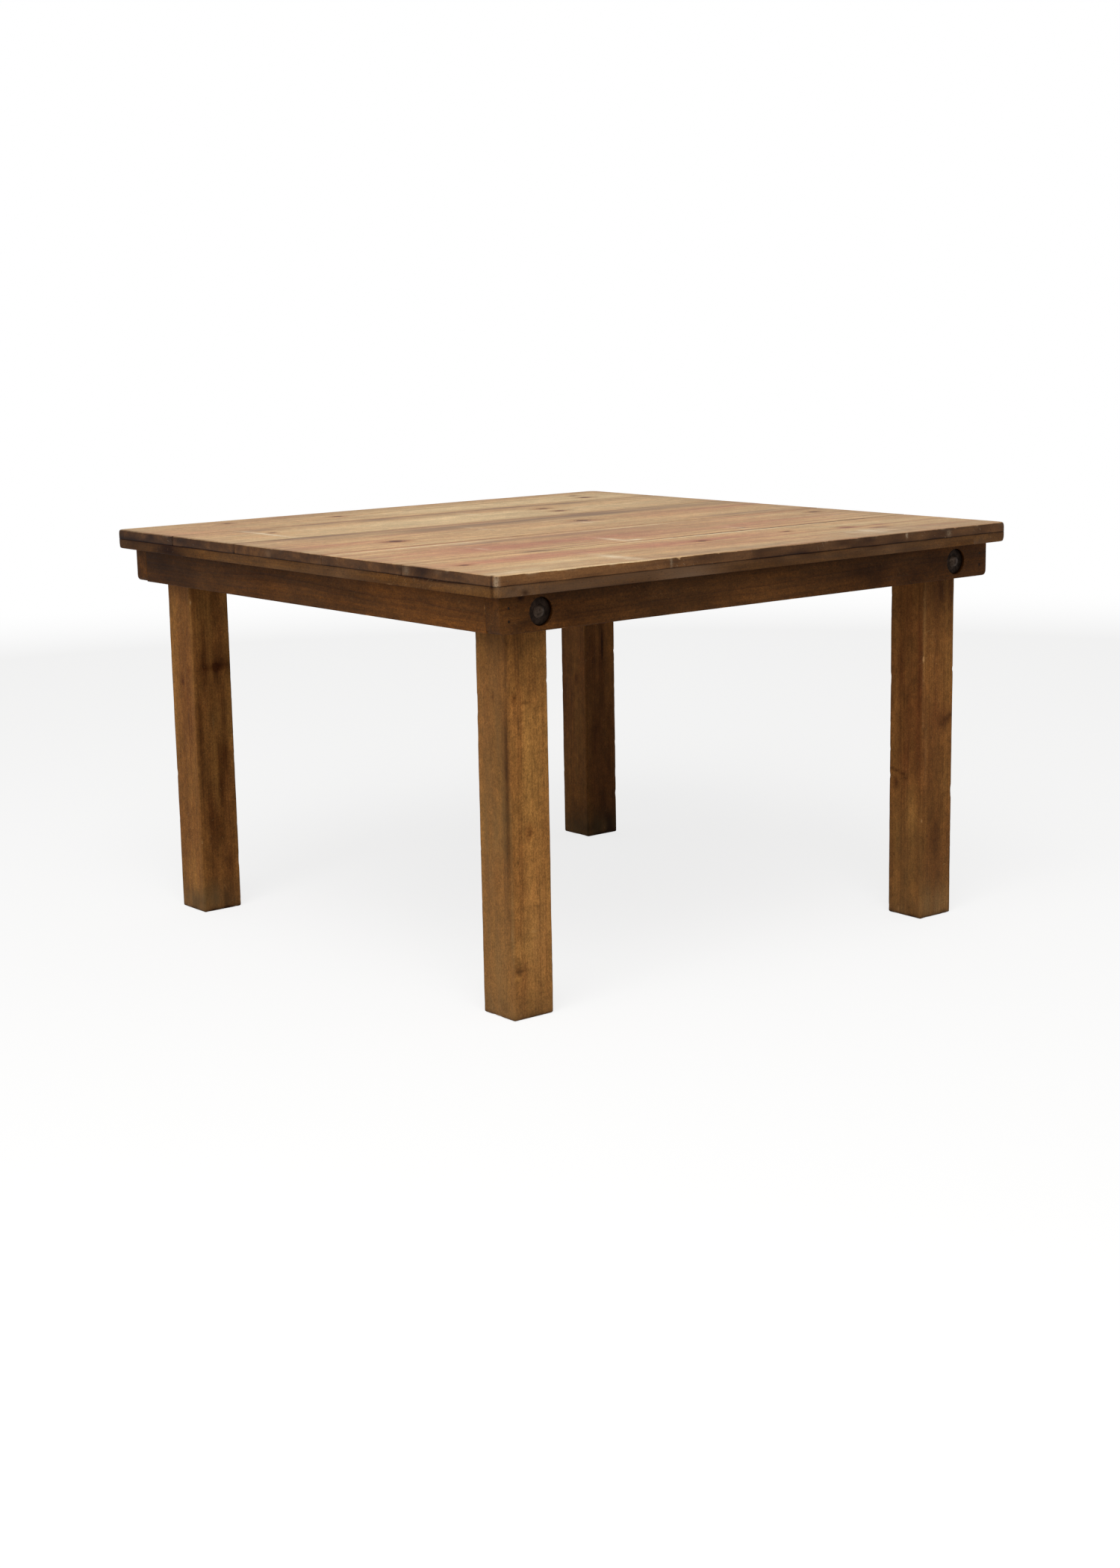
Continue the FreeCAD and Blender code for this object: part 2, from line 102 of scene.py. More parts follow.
# Soft marks on the top from growth, use and weather, and a little painted light on the far board: x, y,
# half length, half width, strength.
RED_HEARTWOOD = [
    (-220, -262, 360, 52, 0.8), (-190, -430, 420, 42, 0.8), (430, -425, 200, 35, 0.1),
    (350, 45, 290, 44, 0.45), (-430, 520, 250, 80, 0.4), (430, -240, 180, 40, 0.35),
    (-200, 62, 200, 30, 0.3), (-500, 60, 130, 60, 0.2), (340, -452, 22, 20, 0.8), (378, -496, 32, 16, 1.0),
    (420, -470, 16, 18, 0.7), (-500, 300, 90, 60, 0.35), (300, -300, 120, 40, 0.3),
    (0, -505, 190, 34, 0.35), (-100, 120, 420, 40, 0.2),
]
# Paler sapwood; (0, 510) and (480, 490) also lift the far board and its far corner as painted light.
PALE_SAPWOOD_AND_LIGHT = [
    (190, 480, 240, 52, 0.7), (0, 510, 600, 90, 0.2), (-60, 275, 300, 62, 0.95), (0, -566, 640, 40, 0.25),
    (-420, -134, 200, 7, 1.0), (70, -134, 140, 6, 0.8), (140, -360, 210, 7, 1.0), (480, 490, 130, 80, 0.8),
    (-520, -560, 70, 30, 0.5), (380, 250, 150, 60, 0.5), (340, -422, 180, 26, 0.6),
    (-400, -520, 80, 34, 0.4), (-500, -210, 90, 40, 0.3),
]
GREY_WEATHER = [
    (-280, 386, 40, 12, 0.6), (-155, 376, 50, 15, 0.6), (200, 400, 90, 13, 0.55), (350, 386, 50, 12, 0.65),
    (-435, 370, 50, 18, 0.6), (0, 390, 500, 26, 0.32), (0, 598, 640, 22, 0.2), (-440, 166, 110, 15, 0.9),
    (20, 128, 290, 34, 0.8), (-200, 110, 150, 24, 0.4), (420, 140, 220, 28, 0.55), (0, 150, 620, 36, 0.3),
    (435, -80, 110, 20, 0.85), (-100, -158, 260, 22, 0.5), (-287, -165, 60, 10, 0.4),
    (-318, -352, 34, 14, 0.6), (430, -550, 200, 50, 0.5), (-150, -585, 150, 20, 0.3),
    (-510, -552, 110, 40, 0.25), (540, -300, 90, 200, 0.2), (-590, 0, 26, 600, 0.25),
    (590, 100, 26, 500, 0.25),
]
DARK_STAIN = [
    (-326, -346, 26, 8, 0.35), (-304, -364, 20, 8, 0.35), (340, -455, 16, 16, 0.35),
    (376, -500, 26, 12, 0.45), (-525, 172, 50, 7, 0.4), (330, -352, 260, 4, 0.7), (-396, 548, 24, 8, 0.4),
    (130, -352, 120, 3, 0.4), (0, -578, 680, 26, 0.24), (-300, -572, 110, 26, 0.15),
    (0, -500, 170, 30, 0.2), (-300, 568, 330, 32, 0.16), (-50, -200, 360, 36, 0.12),
    (-200, 122, 420, 30, 0.1),
]
PALE_SCUFFS = [
    (-467, 290, 7, 90, 0.8), (-292, -530, 16, 66, 0.6), (-100, -300, 8, 40, 0.9), (-76, -330, 16, 9, 0.8),
    (-132, 60, 5, 46, 0.75), (88, 12, 24, 18, 0.65), (50, 335, 6, 40, 0.55), (330, -548, 60, 34, 0.35),
    (202, -306, 9, 34, 0.45), (480, -222, 80, 4, 0.4), (530, -252, 70, 4, 0.35), (-560, -585, 60, 10, 0.4),
    (-420, -134, 200, 4, 0.6), (70, -134, 140, 4, 0.5), (140, -361, 210, 4, 0.68),
    (100, -578, 560, 34, 0.1), (-363, -245, 5, 34, 0.4), (-330, -152, 40, 8, 0.3), (300, -530, 60, 20, 0.3),
]
# Pale chips on the near edge: x, z, half length, half height, strength.
EDGE_CHIPS = [(-237, 753, 2.0, 8, 0.2), (337, 757, 2.5, 4, 0.35), (451, 752, 6, 6, 0.15)]
# The same on the left ends, by y.
END_CHIPS = [(-366, 753, 8, 8, 0.1), (-455, 757, 10, 3, 0.05), (60, 752, 9, 6, 0.05)]
# Tone on the left ends and the near edge, and dirt and painted shade there, as for the top. The
# whole left end is darkened, most on its far half, as painted shade.
NEAR_GOLD = [(-440, near_face, 210, 6, -0.8)]
EDGE_DIRT_AND_SHADE = [
    (-609, 400, 6, 330, 0.35), (-609, 0, 6, 900, 0.25), (-609, -400, 6, 60, 0.45), (-609, 570, 6, 60, 0.42),
    (-609, 0, 6, 70, 0.2), (-609, -200, 6, 60, -0.3), (-609, -598, 4, 3, 0.9), (330, -609, 330, 6, 0.45),
    (40, -609, 90, 6, 0.2),
]


def node_box(node):
    """Lowest and highest corner of a CAD node, in mm."""
    low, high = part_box(node)
    return np.array(low) * 1000, np.array(high) * 1000


def drift(points, wavelength, seed):
    """Smooth random field from -1 to 1. Each corner of a lattice with these wavelengths has a random value,
    the part of a large sine past its point, and a point takes a smooth-step blend of its eight corners."""
    scaled = points / np.asarray(wavelength, float)
    cell = np.floor(scaled)
    part = scaled - cell
    part = part * part * (3 - 2 * part)
    field = np.zeros(len(points))
    for corner in np.ndindex(2, 2, 2):
        value = np.sin((cell + corner) @ (12.9898, 78.233, 37.719) + 4.117 * seed) * 43758.5453
        weight = np.prod(np.where(corner, part, 1 - part), axis=1)
        field += weight * (2 * (value % 1) - 1)
    return field


def sawn_block(low, high, step, arris):
    """Points and faces of a block's skin. Lattice lines cross the three axes, a step apart and closer in
    the arris at each end. The skin is the lattice points on a first or last line, so the six faces share
    their edge points and the block is closed."""
    lines = []
    for start, end, spacing in zip(low, high, np.broadcast_to(step, 3)):
        band = arris * np.array([0.0, 0.18, 0.42, 0.72])
        spans = max(2, math.ceil((end - start - 2 * arris) / spacing))
        middle = np.linspace(start + arris, end - arris, spans + 1)
        lines.append(np.concatenate([start + band, middle, (end - band)[::-1]]))
    shape = [len(line) for line in lines]
    skins = []
    for axis in range(3):
        across, up = (axis + 1) % 3, (axis + 2) % 3
        i, j = np.meshgrid(np.arange(shape[across] - 1), np.arange(shape[up] - 1), indexing="ij")
        for level in (0, shape[axis] - 1):
            corners = []
            for di, dj in ((0, 0), (1, 0), (1, 1), (0, 1)):
                index = {axis: np.full(i.size, level), across: (i + di).ravel(), up: (j + dj).ravel()}
                corners.append(np.ravel_multi_index([index[0], index[1], index[2]], shape))
            skins.append(np.stack(corners if level else corners[::-1], axis=1))
    used, faces = np.unique(np.concatenate(skins), return_inverse=True)
    points = np.stack([line[k] for line, k in zip(lines, np.unravel_index(used, shape))], axis=1)
    return points, faces.reshape(-1, 4)


def ease_arrises(points, low, high, radius):
    """Rounds a block's edges: q goes to c + r (q - c) / |q - c|, with c the nearest point that lies r
    inside every face. The radius r may differ from point to point, as wear does."""
    r = np.broadcast_to(radius, len(points))[:, None]
    core = np.clip(points, low + r, high - r)
    out = points - core
    return core + out * r / np.maximum(np.linalg.norm(out, axis=1, keepdims=True), 1e-9)


def round_corner(points, axes, corner, outward, radius):
    """Rounds one square corner in the plane of two axes. Within a radius of it, squares about the turning
    centre become circles: a point keeps its direction and takes max(|du|, |dv|) as its distance."""
    du = (points[:, axes[0]] - corner[0]) * outward[0] + radius
    dv = (points[:, axes[1]] - corner[1]) * outward[1] + radius
    scale = np.where((du > 0) & (dv > 0), np.maximum(du, dv) / np.maximum(np.hypot(du, dv), 1e-9), 1.0)
    moved = points.copy()
    moved[:, axes[0]] += outward[0] * du * (scale - 1)
    moved[:, axes[1]] += outward[1] * dv * (scale - 1)
    return moved


def edge_nearness(points, low, high, reach):
    """1 on a block's edges, falling to 0 at reach from them: the second least of the three distances to a
    face is the distance along the surface to the nearest edge."""
    depth = np.sort(np.minimum(points - low, high - points), axis=1)
    return np.clip(1 - depth[:, 1] / reach, 0, 1)


def round_top(points, end, side):
    """Rounds the upright edge at one corner of the top, the front one more than the others."""
    radius = FRONT_CORNER if end < 0 and side < 0 else TOP_CORNER
    return round_corner(points, (0, 1), (end * half_top, side * half_top), (end, side), radius)


def corner_wear(points, low, high, upward):
    """Extra radius on a corner of the top: full on its upright edge, none at a reach from it, and rising
    from the middle of the piece's height upwards, or downwards where upward is -1."""
    away = np.hypot(*(np.abs(points[:, :2]) - half_top).T)
    rise = upward * (points[:, 2] - (low + high)[2] / 2)
    return CORNER_BLUNT * np.clip(1 - away / CORNER_REACH, 0, 1) * np.clip(rise / CORNER_RISE, 0, 1)


def front_corner(points):
    """1 on the upright edge of the front corner, falling to 0 at the width of its scuff."""
    return np.clip(1 - np.hypot(points[:, 0] - left_face, points[:, 1] - near_face) / CORNER_SCUFF, 0, 1)


def on_outside(points):
    """True on the outer side faces of the top."""
    return np.abs(points[:, :2]).max(axis=1) > half_top - EDGE_SKIN


def patches(points, wavelength, seed, gain, floor):
    """Scattered patches: gain times a smooth random field, less floor, from 0 to 1."""
    return np.clip(gain * drift(points, wavelength, seed) - floor, 0, 1)


def fade(distance, width):
    """Soft fall to both sides: exp(-(distance / width)^2)."""
    return np.exp(-((distance / width) ** 2))


def soft_marks(points, marks, axes=(0, 1)):
    """Sum of soft ovals: strength exp(-(du / half length)^2 - (dv / half width)^2) each."""
    field = np.zeros(len(points))
    for u, v, half_length, half_width, strength in marks:
        du = (points[:, axes[0]] - u) / half_length
        dv = (points[:, axes[1]] - v) / half_width
        field += strength * np.exp(-du**2 - dv**2)
    return field


def growth_figure(points, low, high, axis, pith, ring, lean, seed, wander=10, knots=()):
    """How the tree grew through a sawn piece: g runs along the grain, a and b across it from the middle.
    Near a knot the cross distance shrinks by 0.8 exp(-d^2), so the grain lines swell round it. The ring
    count is the distance to a pith line, which leans and wanders, over the ring width, with up to 1.6 rings
    more on a knot, so that lines close round it. The knot field is the distance to the nearest knot over
    its radius, and the smear is the dark tail of a knot along the grain. A knot is along, across, radius,
    and the face it shows on: the cross axis that it points along and the sign, where sign 0 is right
    through."""
    middle = (low + high) / 2
    cross = [k for k in range(3) if k != axis]
    g = points[:, axis] - middle[axis]
    ab = points[:, cross] - middle[cross]
    flow = ab.copy()
    knot = np.full(len(points), 5.0)
    swell = np.zeros(len(points))
    smear = np.zeros(len(points))
    for along, across, radius, facing, sign in knots:
        side = 1 - facing
        shown = np.clip(0.5 + sign * ab[:, facing] / 20, 0, 1) if sign else np.ones(len(points))
        dg = (points[:, axis] - along) / radius
        dt = (points[:, cross[side]] - across) / radius
        flow[:, side] -= 0.8 * radius * shown * dt * np.exp(-((dg / 2.8) ** 2) - (dt / 1.7) ** 2)
        swell += shown * np.exp(-((dg / 3.2) ** 2) - (dt / 1.9) ** 2)
        smear += shown * np.exp(-((dg / 3) ** 2) - (dt / 0.9) ** 2)
        knot = np.minimum(knot, np.hypot(dg / 1.35, dt) + 5 * (1 - shown))
    line = np.stack([g, 0 * g, 0 * g], axis=1)
    pith_a = pith[0] + wander * drift(line, (620, 1, 1), seed + 1)
    pith_b = pith[1] + wander * drift(line, (480, 1, 1), seed + 2) + lean * g / 1000
    wave = drift(np.column_stack([g, flow]), (120, 18, 18), seed + 3)
    count = np.hypot(flow[:, 0] - pith_a, flow[:, 1] - pith_b) / ring + 0.3 * wave + 1.6 * swell
    grain = np.column_stack([g + 370 * seed, flow + 41 * seed]) / 1000
    return {"ring": count, "knot": knot, "grain": grain, "smear": smear}


def mesh_of(points, faces):
    """A smooth-shaded mesh from points in mm and a list of faces."""
    mesh = bpy.data.meshes.new("work")
    faces = faces.tolist() if isinstance(faces, np.ndarray) else faces
    mesh.from_pydata((points / 1000).tolist(), [], faces)
    mesh.polygons.foreach_set("use_smooth", np.ones(len(mesh.polygons), bool))
    return mesh


def points_of(mesh):
    """A mesh's points in mm."""
    flat = np.empty(3 * len(mesh.vertices), np.float32)
    mesh.vertices.foreach_get("co", flat)
    return flat.reshape(-1, 3).astype(float) * 1000


def hang(mesh, node, slot, material, fields, body="root"):
    """Stores each field on the mesh's points, and hangs the piece on its CAD body in place of its node. It
    is named for the node and for what it is made of, the last word of the slot."""
    name = node + "_" + slot.split("_")[-1]
    mesh.name = name
    mesh.materials.append(material)
    for field, values in fields.items():
        kind, part = ("FLOAT", "value") if values.ndim == 1 else ("FLOAT_VECTOR", "vector")
        attribute = mesh.attributes.new(field, kind, "POINT")
        attribute.data.foreach_set(part, values.astype(np.float32).ravel())
    piece = bpy.data.objects.new(name, mesh)
    bpy.context.scene.collection.objects.link(piece)
    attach(piece, body)
    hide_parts(node)


def linear(shade):
    """An sRGB hex colour as linear red, green and blue, with alpha."""
    part = np.array([int(shade[k:k + 2], 16) for k in (1, 3, 5)]) / 255
    part = np.where(part <= 0.04045, part / 12.92, ((part + 0.055) / 1.055) ** 2.4)
    return (*part.tolist(), 1.0)


def add_node(tree, kind, inputs=(), give=None, **settings):
    """Adds one node: settings are its properties, and inputs gives its sockets, in order or by name, a value
    or the socket that feeds it. Returns the output named by give, or else the first one in use."""
    node = tree.nodes.new("ShaderNode" + kind)
    for key, value in settings.items():
        setattr(node, key, value)
    for socket, value in inputs.items() if isinstance(inputs, dict) else enumerate(inputs):
        if isinstance(value, bpy.types.NodeSocket):
            tree.links.new(value, node.inputs[socket])
        else:
            node.inputs[socket].default_value = value
    return node.outputs[give] if give else next((output for output in node.outputs if output.enabled), None)


def bare_tree(owner):
    """Empties the node tree of a material or a world, and returns add_node for that tree."""
    owner.use_nodes = True
    owner.node_tree.nodes.clear()
    return partial(add_node, owner.node_tree)


def softwood(name, stained, bare, weathered, scuffed, stripe_depth, late_depth, fibre_depth, cloud_depth,
             grit_depth, knot_depth, nick_depth, rough, sheen):
    """Sawn and planed softwood under a worn stain. Gives the eye year lines with a sharp outer side, long
    fine fibres, slow streaks of heartwood and sapwood, dark knots with a warm halo, old dust, ground-in
    dirt and painted shade, pale scuffs and nicks, and bare wood where it is rubbed. stained and bare are
    pale, middle and deep shades as hex, and weathered and scuffed are the shades of the dust and of a scuff."""
    material = bpy.data.materials.new(name)
    add = bare_tree(material)
    grain = add("Attribute", give="Vector", attribute_name="grain")
    look = {}
    for field in ("ring", "knot", "warm", "worn", "grey", "dirt_and_shade", "scuff"):
        look[field] = add("Attribute", give="Fac", attribute_name=field)

    # Patterns drawn out along the grain, by length and width in mm and detail. Fibres are really 0.05 mm
    # wide, pits 0.3 mm, and flecks and grit 0.5 mm and less. All are drawn as fine as the picture can show.
    patterns = {"fibre": (75, 2.2, 2), "band": (150, 6, 3), "streak": (420, 15, 3), "mottle": (30, 18, 5),
                "blotch": (180, 70, 4), "check": (230, 6, 1), "pit": (9, 2.4, 1), "fleck": (9, 6, 3),
                "grit": (2.8, 2.4, 2)}
    for pattern, (length, width, detail) in patterns.items():
        scale = (length / 1000, width / 1000, width / 1000)
        place = add("Mapping", {"Vector": grain, "Scale": scale}, vector_type="TEXTURE")
        noise = {"Vector": place, "Scale": 1.0, "Detail": detail, "Roughness": 0.58}
        look[pattern] = add("TexNoise", noise)
    # Good and poor years come in runs of about three rings.
    years = add("Math", (look["ring"], 0.33), operation="MULTIPLY")
    noise = {"W": years, "Scale": 1.0, "Detail": 1.0}
    look["spell"] = add("TexNoise", noise, noise_dimensions="1D")
    # Late wood darkens slowly through a year and stops at once.
    season = add("Math", (look["ring"],), operation="FRACT")
    late = add("Math", (season, 3.2), operation="POWER")
    strong = add("MapRange", (look["spell"], 0.3, 0.7, 0.2, 1.4))
    late = add("Math", (late, strong), operation="MULTIPLY")
    # Drying checks: hair cracks 1 to 2 mm wide and up to 150 mm long, only in dry patches.
    dry = add("MapRange", (look["blotch"], 0.5, 0.62), interpolation_type="SMOOTHSTEP")
    split = add("MapRange", (look["check"], 0.69, 0.74), interpolation_type="SMOOTHSTEP")
    check = add("Math", (split, dry), operation="MULTIPLY")
    # Nicks: 1.2 mm wide and up to 12 mm long, in two directions over the grain, mostly in rough patches.
    limit = add("MapRange", (look["blotch"], 0.66, 0.46, 0.72, 0.86))
    nicks = []
    for across in ((0.4, 0.75, 0.53), (0.86, -0.2, 0.47)):
        turn = tuple(Vector(across).to_track_quat("Z", "Y").to_euler())
        lie = {"Vector": grain, "Rotation": turn, "Scale": (0.012, 0.012, 0.0012)}
        place = add("Mapping", lie, vector_type="TEXTURE")
        sheet = add("TexNoise", {"Vector": place, "Scale": 1.0, "Detail": 0.0})
        above = add("Math", (sheet, limit), operation="SUBTRACT")
        nicks.append(add("MapRange", (above, 0.0, 0.06, 0.0, nick_depth)))
    nick = add("Math", nicks, operation="MAXIMUM")

    # Tone runs from pale to deep. Each pattern has a mean of a half, which the starting value takes off.
    weights = {"spell": 0.7 * stripe_depth, "streak": 1.1 * stripe_depth, "band": 0.8 * stripe_depth,
               "blotch": 3 * cloud_depth, "warm": 0.5}
    tone = 0.5 - (sum(weights.values()) - weights["warm"]) / 2
    for pattern, weight in weights.items():
        tone = add("Math", (look[pattern], weight, tone), operation="MULTIPLY_ADD")
    skins = []
    for shades in (stained, bare):
        skin = add("ValToRGB", {"Fac": tone}, give="Color")
        ramp = skin.node.color_ramp
        ramp.elements.new(0.5)
        for element, place, shade in zip(ramp.elements, (0.12, 0.5, 0.88), shades):
            element.position = place
            element.color = linear(shade)
        skins.append(skin)
    rub = add("Math", (look["fibre"], 0.5, look["worn"]), operation="MULTIPLY_ADD")
    rub = add("Math", (look["blotch"], 0.6, rub), operation="MULTIPLY_ADD")
    rubbed = add("MapRange", (rub, 0.85, 1.25), interpolation_type="SMOOTHSTEP")
    colour = add("Mix", {0: rubbed, 6: skins[0], 7: skins[1]}, data_type="RGBA")

    # Coats over the wood, from the lowest up: share, shade and how the two mix.
    line = add("Math", (late, late_depth), operation="MULTIPLY")
    coats = [(line, "#8f5a34", "MULTIPLY")]
    for pattern, depth in (("fibre", fibre_depth), ("grit", grit_depth), ("fleck", 0.6 * grit_depth),
                           ("mottle", cloud_depth), ("blotch", cloud_depth)):
        lift = add("MapRange", (look[pattern], 0.28, 0.72, 1 - depth, 1 + depth))
        coats.append((1.0, lift, "MULTIPLY"))
    # Knots have a ragged outline, a warm halo and fine rings of their own.
    ragged = add("Math", (look["band"], 0.8, look["knot"]), operation="MULTIPLY_ADD")
    halo = add("MapRange", (ragged, 3.4, 1.2, 0.0, 0.1 + 0.4 * knot_depth), interpolation_type="SMOOTHSTEP")
    coil = add("Math", (ragged, 21.0), operation="MULTIPLY")
    coil = add("Math", (coil,), operation="SINE")
    core = add("Math", (coil, 0.24, ragged), operation="MULTIPLY_ADD")
    core = add("MapRange", (core, 1.5, 1.1, 0.0, knot_depth), interpolation_type="SMOOTHSTEP")
    coats += [(halo, "#c08a5c", "MULTIPLY"), (core, "#784a3a", "MULTIPLY")]
    # Dust, and dirt with painted shade, lie in patches of their own, specks fill the pits, and scuffs
    # catch fibres and grit.
    dirty = (("grey", "streak", weathered, "MIX"), ("dirt_and_shade", "blotch", "#6a5440", "MULTIPLY"))
    for field, pattern, shade, blend in dirty:
        patchy = add("Math", (look[pattern], 1.2, 0.4), operation="MULTIPLY_ADD")
        share = add("Math", (patchy, look[field]), operation="MULTIPLY", use_clamp=True)
        coats.append((share, shade, blend))
    speck = add("MapRange", (look["pit"], 0.66, 0.76, 0.0, 0.4))
    chalk = add("Math", (look["fibre"], 1.8, -1.25), operation="MULTIPLY_ADD")
    chalk = add("Math", (look["grit"], 2.5, chalk), operation="MULTIPLY_ADD", use_clamp=True)
    chalk = add("Math", (chalk, look["scuff"], nick), operation="MULTIPLY_ADD", use_clamp=True)
    crack = add("Math", (check, 0.55), operation="MULTIPLY")
    coats += [(speck, "#7a5236", "MULTIPLY"), (chalk, scuffed, "MIX"), (crack, "#3a2517", "MIX")]
    for share, shade, blend in coats:
        shade = linear(shade) if isinstance(shade, str) else shade
        colour = add("Mix", {0: share, 6: colour, 7: shade}, data_type="RGBA", blend_type=blend)

    gloss = add("MapRange", (look["fibre"], 0.25, 0.75, rough - 0.06, rough + 0.08))
    height = look["fibre"]
    for part, weight in ((late, 0.5), (check, -2.0), (nick, -1.0), (look["grit"], 0.6)):
        height = add("Math", (part, weight, height), operation="MULTIPLY_ADD")
    # The soft early wood is worn about a quarter of a millimetre below the late wood.
    relief = add("Bump", {"Height": height, "Strength": 0.6, "Distance": 0.00025}, give="Normal")
    shader = add("BsdfPrincipled", {"Base Color": colour, "Roughness": gloss, "Normal": relief, "IOR": 1.46,
                                    "Specular IOR Level": sheen})
    add("OutputMaterial", {"Surface": shader})
    return material


# Pine rubbed pale on top, under a brown stain at the edges.
board_timber = softwood(
    "rubbed_pine_boards", stained=("#6d4826", "#52341a", "#39220f"), bare=("#d2b488", "#be986d", "#aa765a"),
    weathered="#866a52", scuffed="#dcc8a8", stripe_depth=0.65, late_depth=0.15, fibre_depth=0.07,
    cloud_depth=0.15, grit_depth=0.18, knot_depth=0.9, nick_depth=0.08, rough=0.6, sheen=0.12,
)
for node, board in BOARDS.items():
    low, high = node_box(node)
    seed = board["figure"]["seed"]
    points, faces = sawn_block(low, high, BOARD_STEP, BOARD_ARRIS)
    radius = 1.5 + 0.6 * drift(points, (60, 60, 40), seed) + 0.5 * drift(points, (17, 17, 30), seed + 5)
    radius = np.clip(radius, 0.6, BOARD_ARRIS) + corner_wear(points, low, high, 1)
    points = ease_arrises(points, low, high, radius)
    joint = np.zeros(len(points))
    for side, edge in ((-1, low[1]), (1, high[1])):
        if abs(edge) < half_top - EDGE_SKIN:
            joint += fade(points[:, 1] - edge, JOINT_WIDTH)
        else:
            points = round_top(round_top(points, -1, side), 1, side)
    # Where wear lies: the top with a wavering rim, chipped arrises, flakes along the near one, scratches.
    x, y, z = points.T
    top_face = np.clip((z - high[2] + 1.6 + 0.5 * drift(points, (45, 45, 45), seed + 6)) / 1.2, 0, 1)
    arris = edge_nearness(points, low, high, ARRIS_REACH) * (z > high[2] - ARRIS_REACH)
    chips = patches(points, (16, 16, 9), seed + 7, gain=1.8, floor=0.75)
    near_arris = (y < near_face + 4) * np.clip((z - high[2] + FLAKE_HEIGHT) / 5, 0, 1)
    flakes = patches(points, (13, 8, 6), seed + 10, gain=2.4, floor=1.2)
    ragged = top_face * (1 + 0.7 * drift(points, (110, 13, 13), seed + 4))
    slow = drift(points, (700, 55, 55), seed + 8)
    scratches = 0.8 * drift(points, (9, 70, 70), seed + 12) + 0.8 * drift(points, (14, 11, 30), seed + 13)
    # What it leaves: bare wood, tone, dust, dirt and scuffs, and painted shade in the groove under the
    # boards. Knots go right through a board.
    knots = [(*knot, 1, 0) for knot in board["knots"]]
    fields = growth_figure(points, low, high, 0, knots=knots, **board["figure"])
    fields["worn"] = np.clip(top_face + 0.8 * arris * chips + near_arris * flakes, 0, 1)
    fields["warm"] = board["warm"] + 0.3 * slow + soft_marks(points, NEAR_GOLD)
    fields["warm"] += ragged * soft_marks(points, RED_HEARTWOOD)
    fields["warm"] -= ragged * soft_marks(points, PALE_SAPWOOD_AND_LIGHT)
    fields["grey"] = ragged * soft_marks(points, GREY_WEATHER) + 0.07 * (1 - top_face) * (slow + 1)
    dirt_and_shade = ragged * soft_marks(points, DARK_STAIN) + 0.2 * top_face * fields.pop("smear")
    dirt_and_shade += top_face * joint * (0.5 + 0.4 * drift(points, (170, 500, 500), seed + 9))
    # Painted shade: a dark band along the foot of the outer sides, in the groove over the strips and
    # battens.
    dirt_and_shade += 0.6 * on_outside(points) * fade(z - low[2], 1.5) + soft_marks(points, EDGE_DIRT_AND_SHADE)
    fields["dirt_and_shade"] = dirt_and_shade + 0.4 * (1 - top_face) * drift(points, (34, 34, 12), seed + 14)
    scuff = np.clip(1 + scratches, 0, 2) * top_face * soft_marks(points, PALE_SCUFFS)
    scuff += (y < near_face + EDGE_SKIN) * soft_marks(points, EDGE_CHIPS, (0, 2))
    scuff += (x < left_face + EDGE_SKIN) * soft_marks(points, END_CHIPS, (1, 2))
    fields["scuff"] = scuff + 0.42 * front_corner(points) + 0.2 * arris * chips
    hang(mesh_of(points, faces), node, "board_timber", board_timber, fields)


# End battens, side strips and the cross cleat: planed battens as thick as the boards, laid flat under them.
# The battens cross the board ends, the strips fill the long edges between, and the cleat ties the middle.
BATTEN_STEP = 4.0
BATTEN_ARRIS = 1.8
RAIL_REACH = 4.0
BATTENS = {
    "end_batten_left": {"axis": 1, "figure": {"pith": (30, -70), "ring": 3.6, "lean": 12, "seed": 21}},
    "end_batten_right": {"axis": 1, "figure": {"pith": (-25, -64), "ring": 3.8, "lean": -14, "seed": 22}},
    "side_strip_near": {"axis": 0, "figure": {"pith": (20, 58), "ring": 3.4, "lean": 10, "seed": 23}},
    "side_strip_far": {"axis": 0, "figure": {"pith": (-18, 62), "ring": 3.5, "lean": -10, "seed": 24}},
    "cross_cleat": {"axis": 1, "figure": {"pith": (12, -75), "ring": 4.0, "lean": 15, "seed": 25}},
}
# Tone, dust, and dirt with painted shade on the outer faces: x, y, half length, half width, strength.
# The left end is darkened over most of its length, most towards the far side, as painted shade.
BATTEN_GOLD = [(left_face, -330, 6, 260, -0.4)]
BATTEN_DUST = [(-575, near_face, 40, 6, 0.35), (0, near_face, 700, 6, 0.17), (-190, near_face, 70, 6, 0.45)]
BATTEN_DIRT_AND_SHADE = [
    (-609, 520, 6, 200, 0.35), (-609, 400, 6, 90, 0.5), (-609, -100, 6, 480, 0.25), (-609, -598, 4, 3, 0.9),
    (150, -609, 560, 6, 0.4), (-200, -609, 60, 6, -0.3),
]
# Dark spots on the near end of the left batten by x and z, and painted shade in the open joint above it
# by y and z.
BATTEN_SPOTS = [(-551, 731, 7, 5, 0.9), (-575, 738, 9, 4, 0.4)]
OPEN_JOINT_SHADE = [(-470, 744, 110, 2.5, 0.8)]
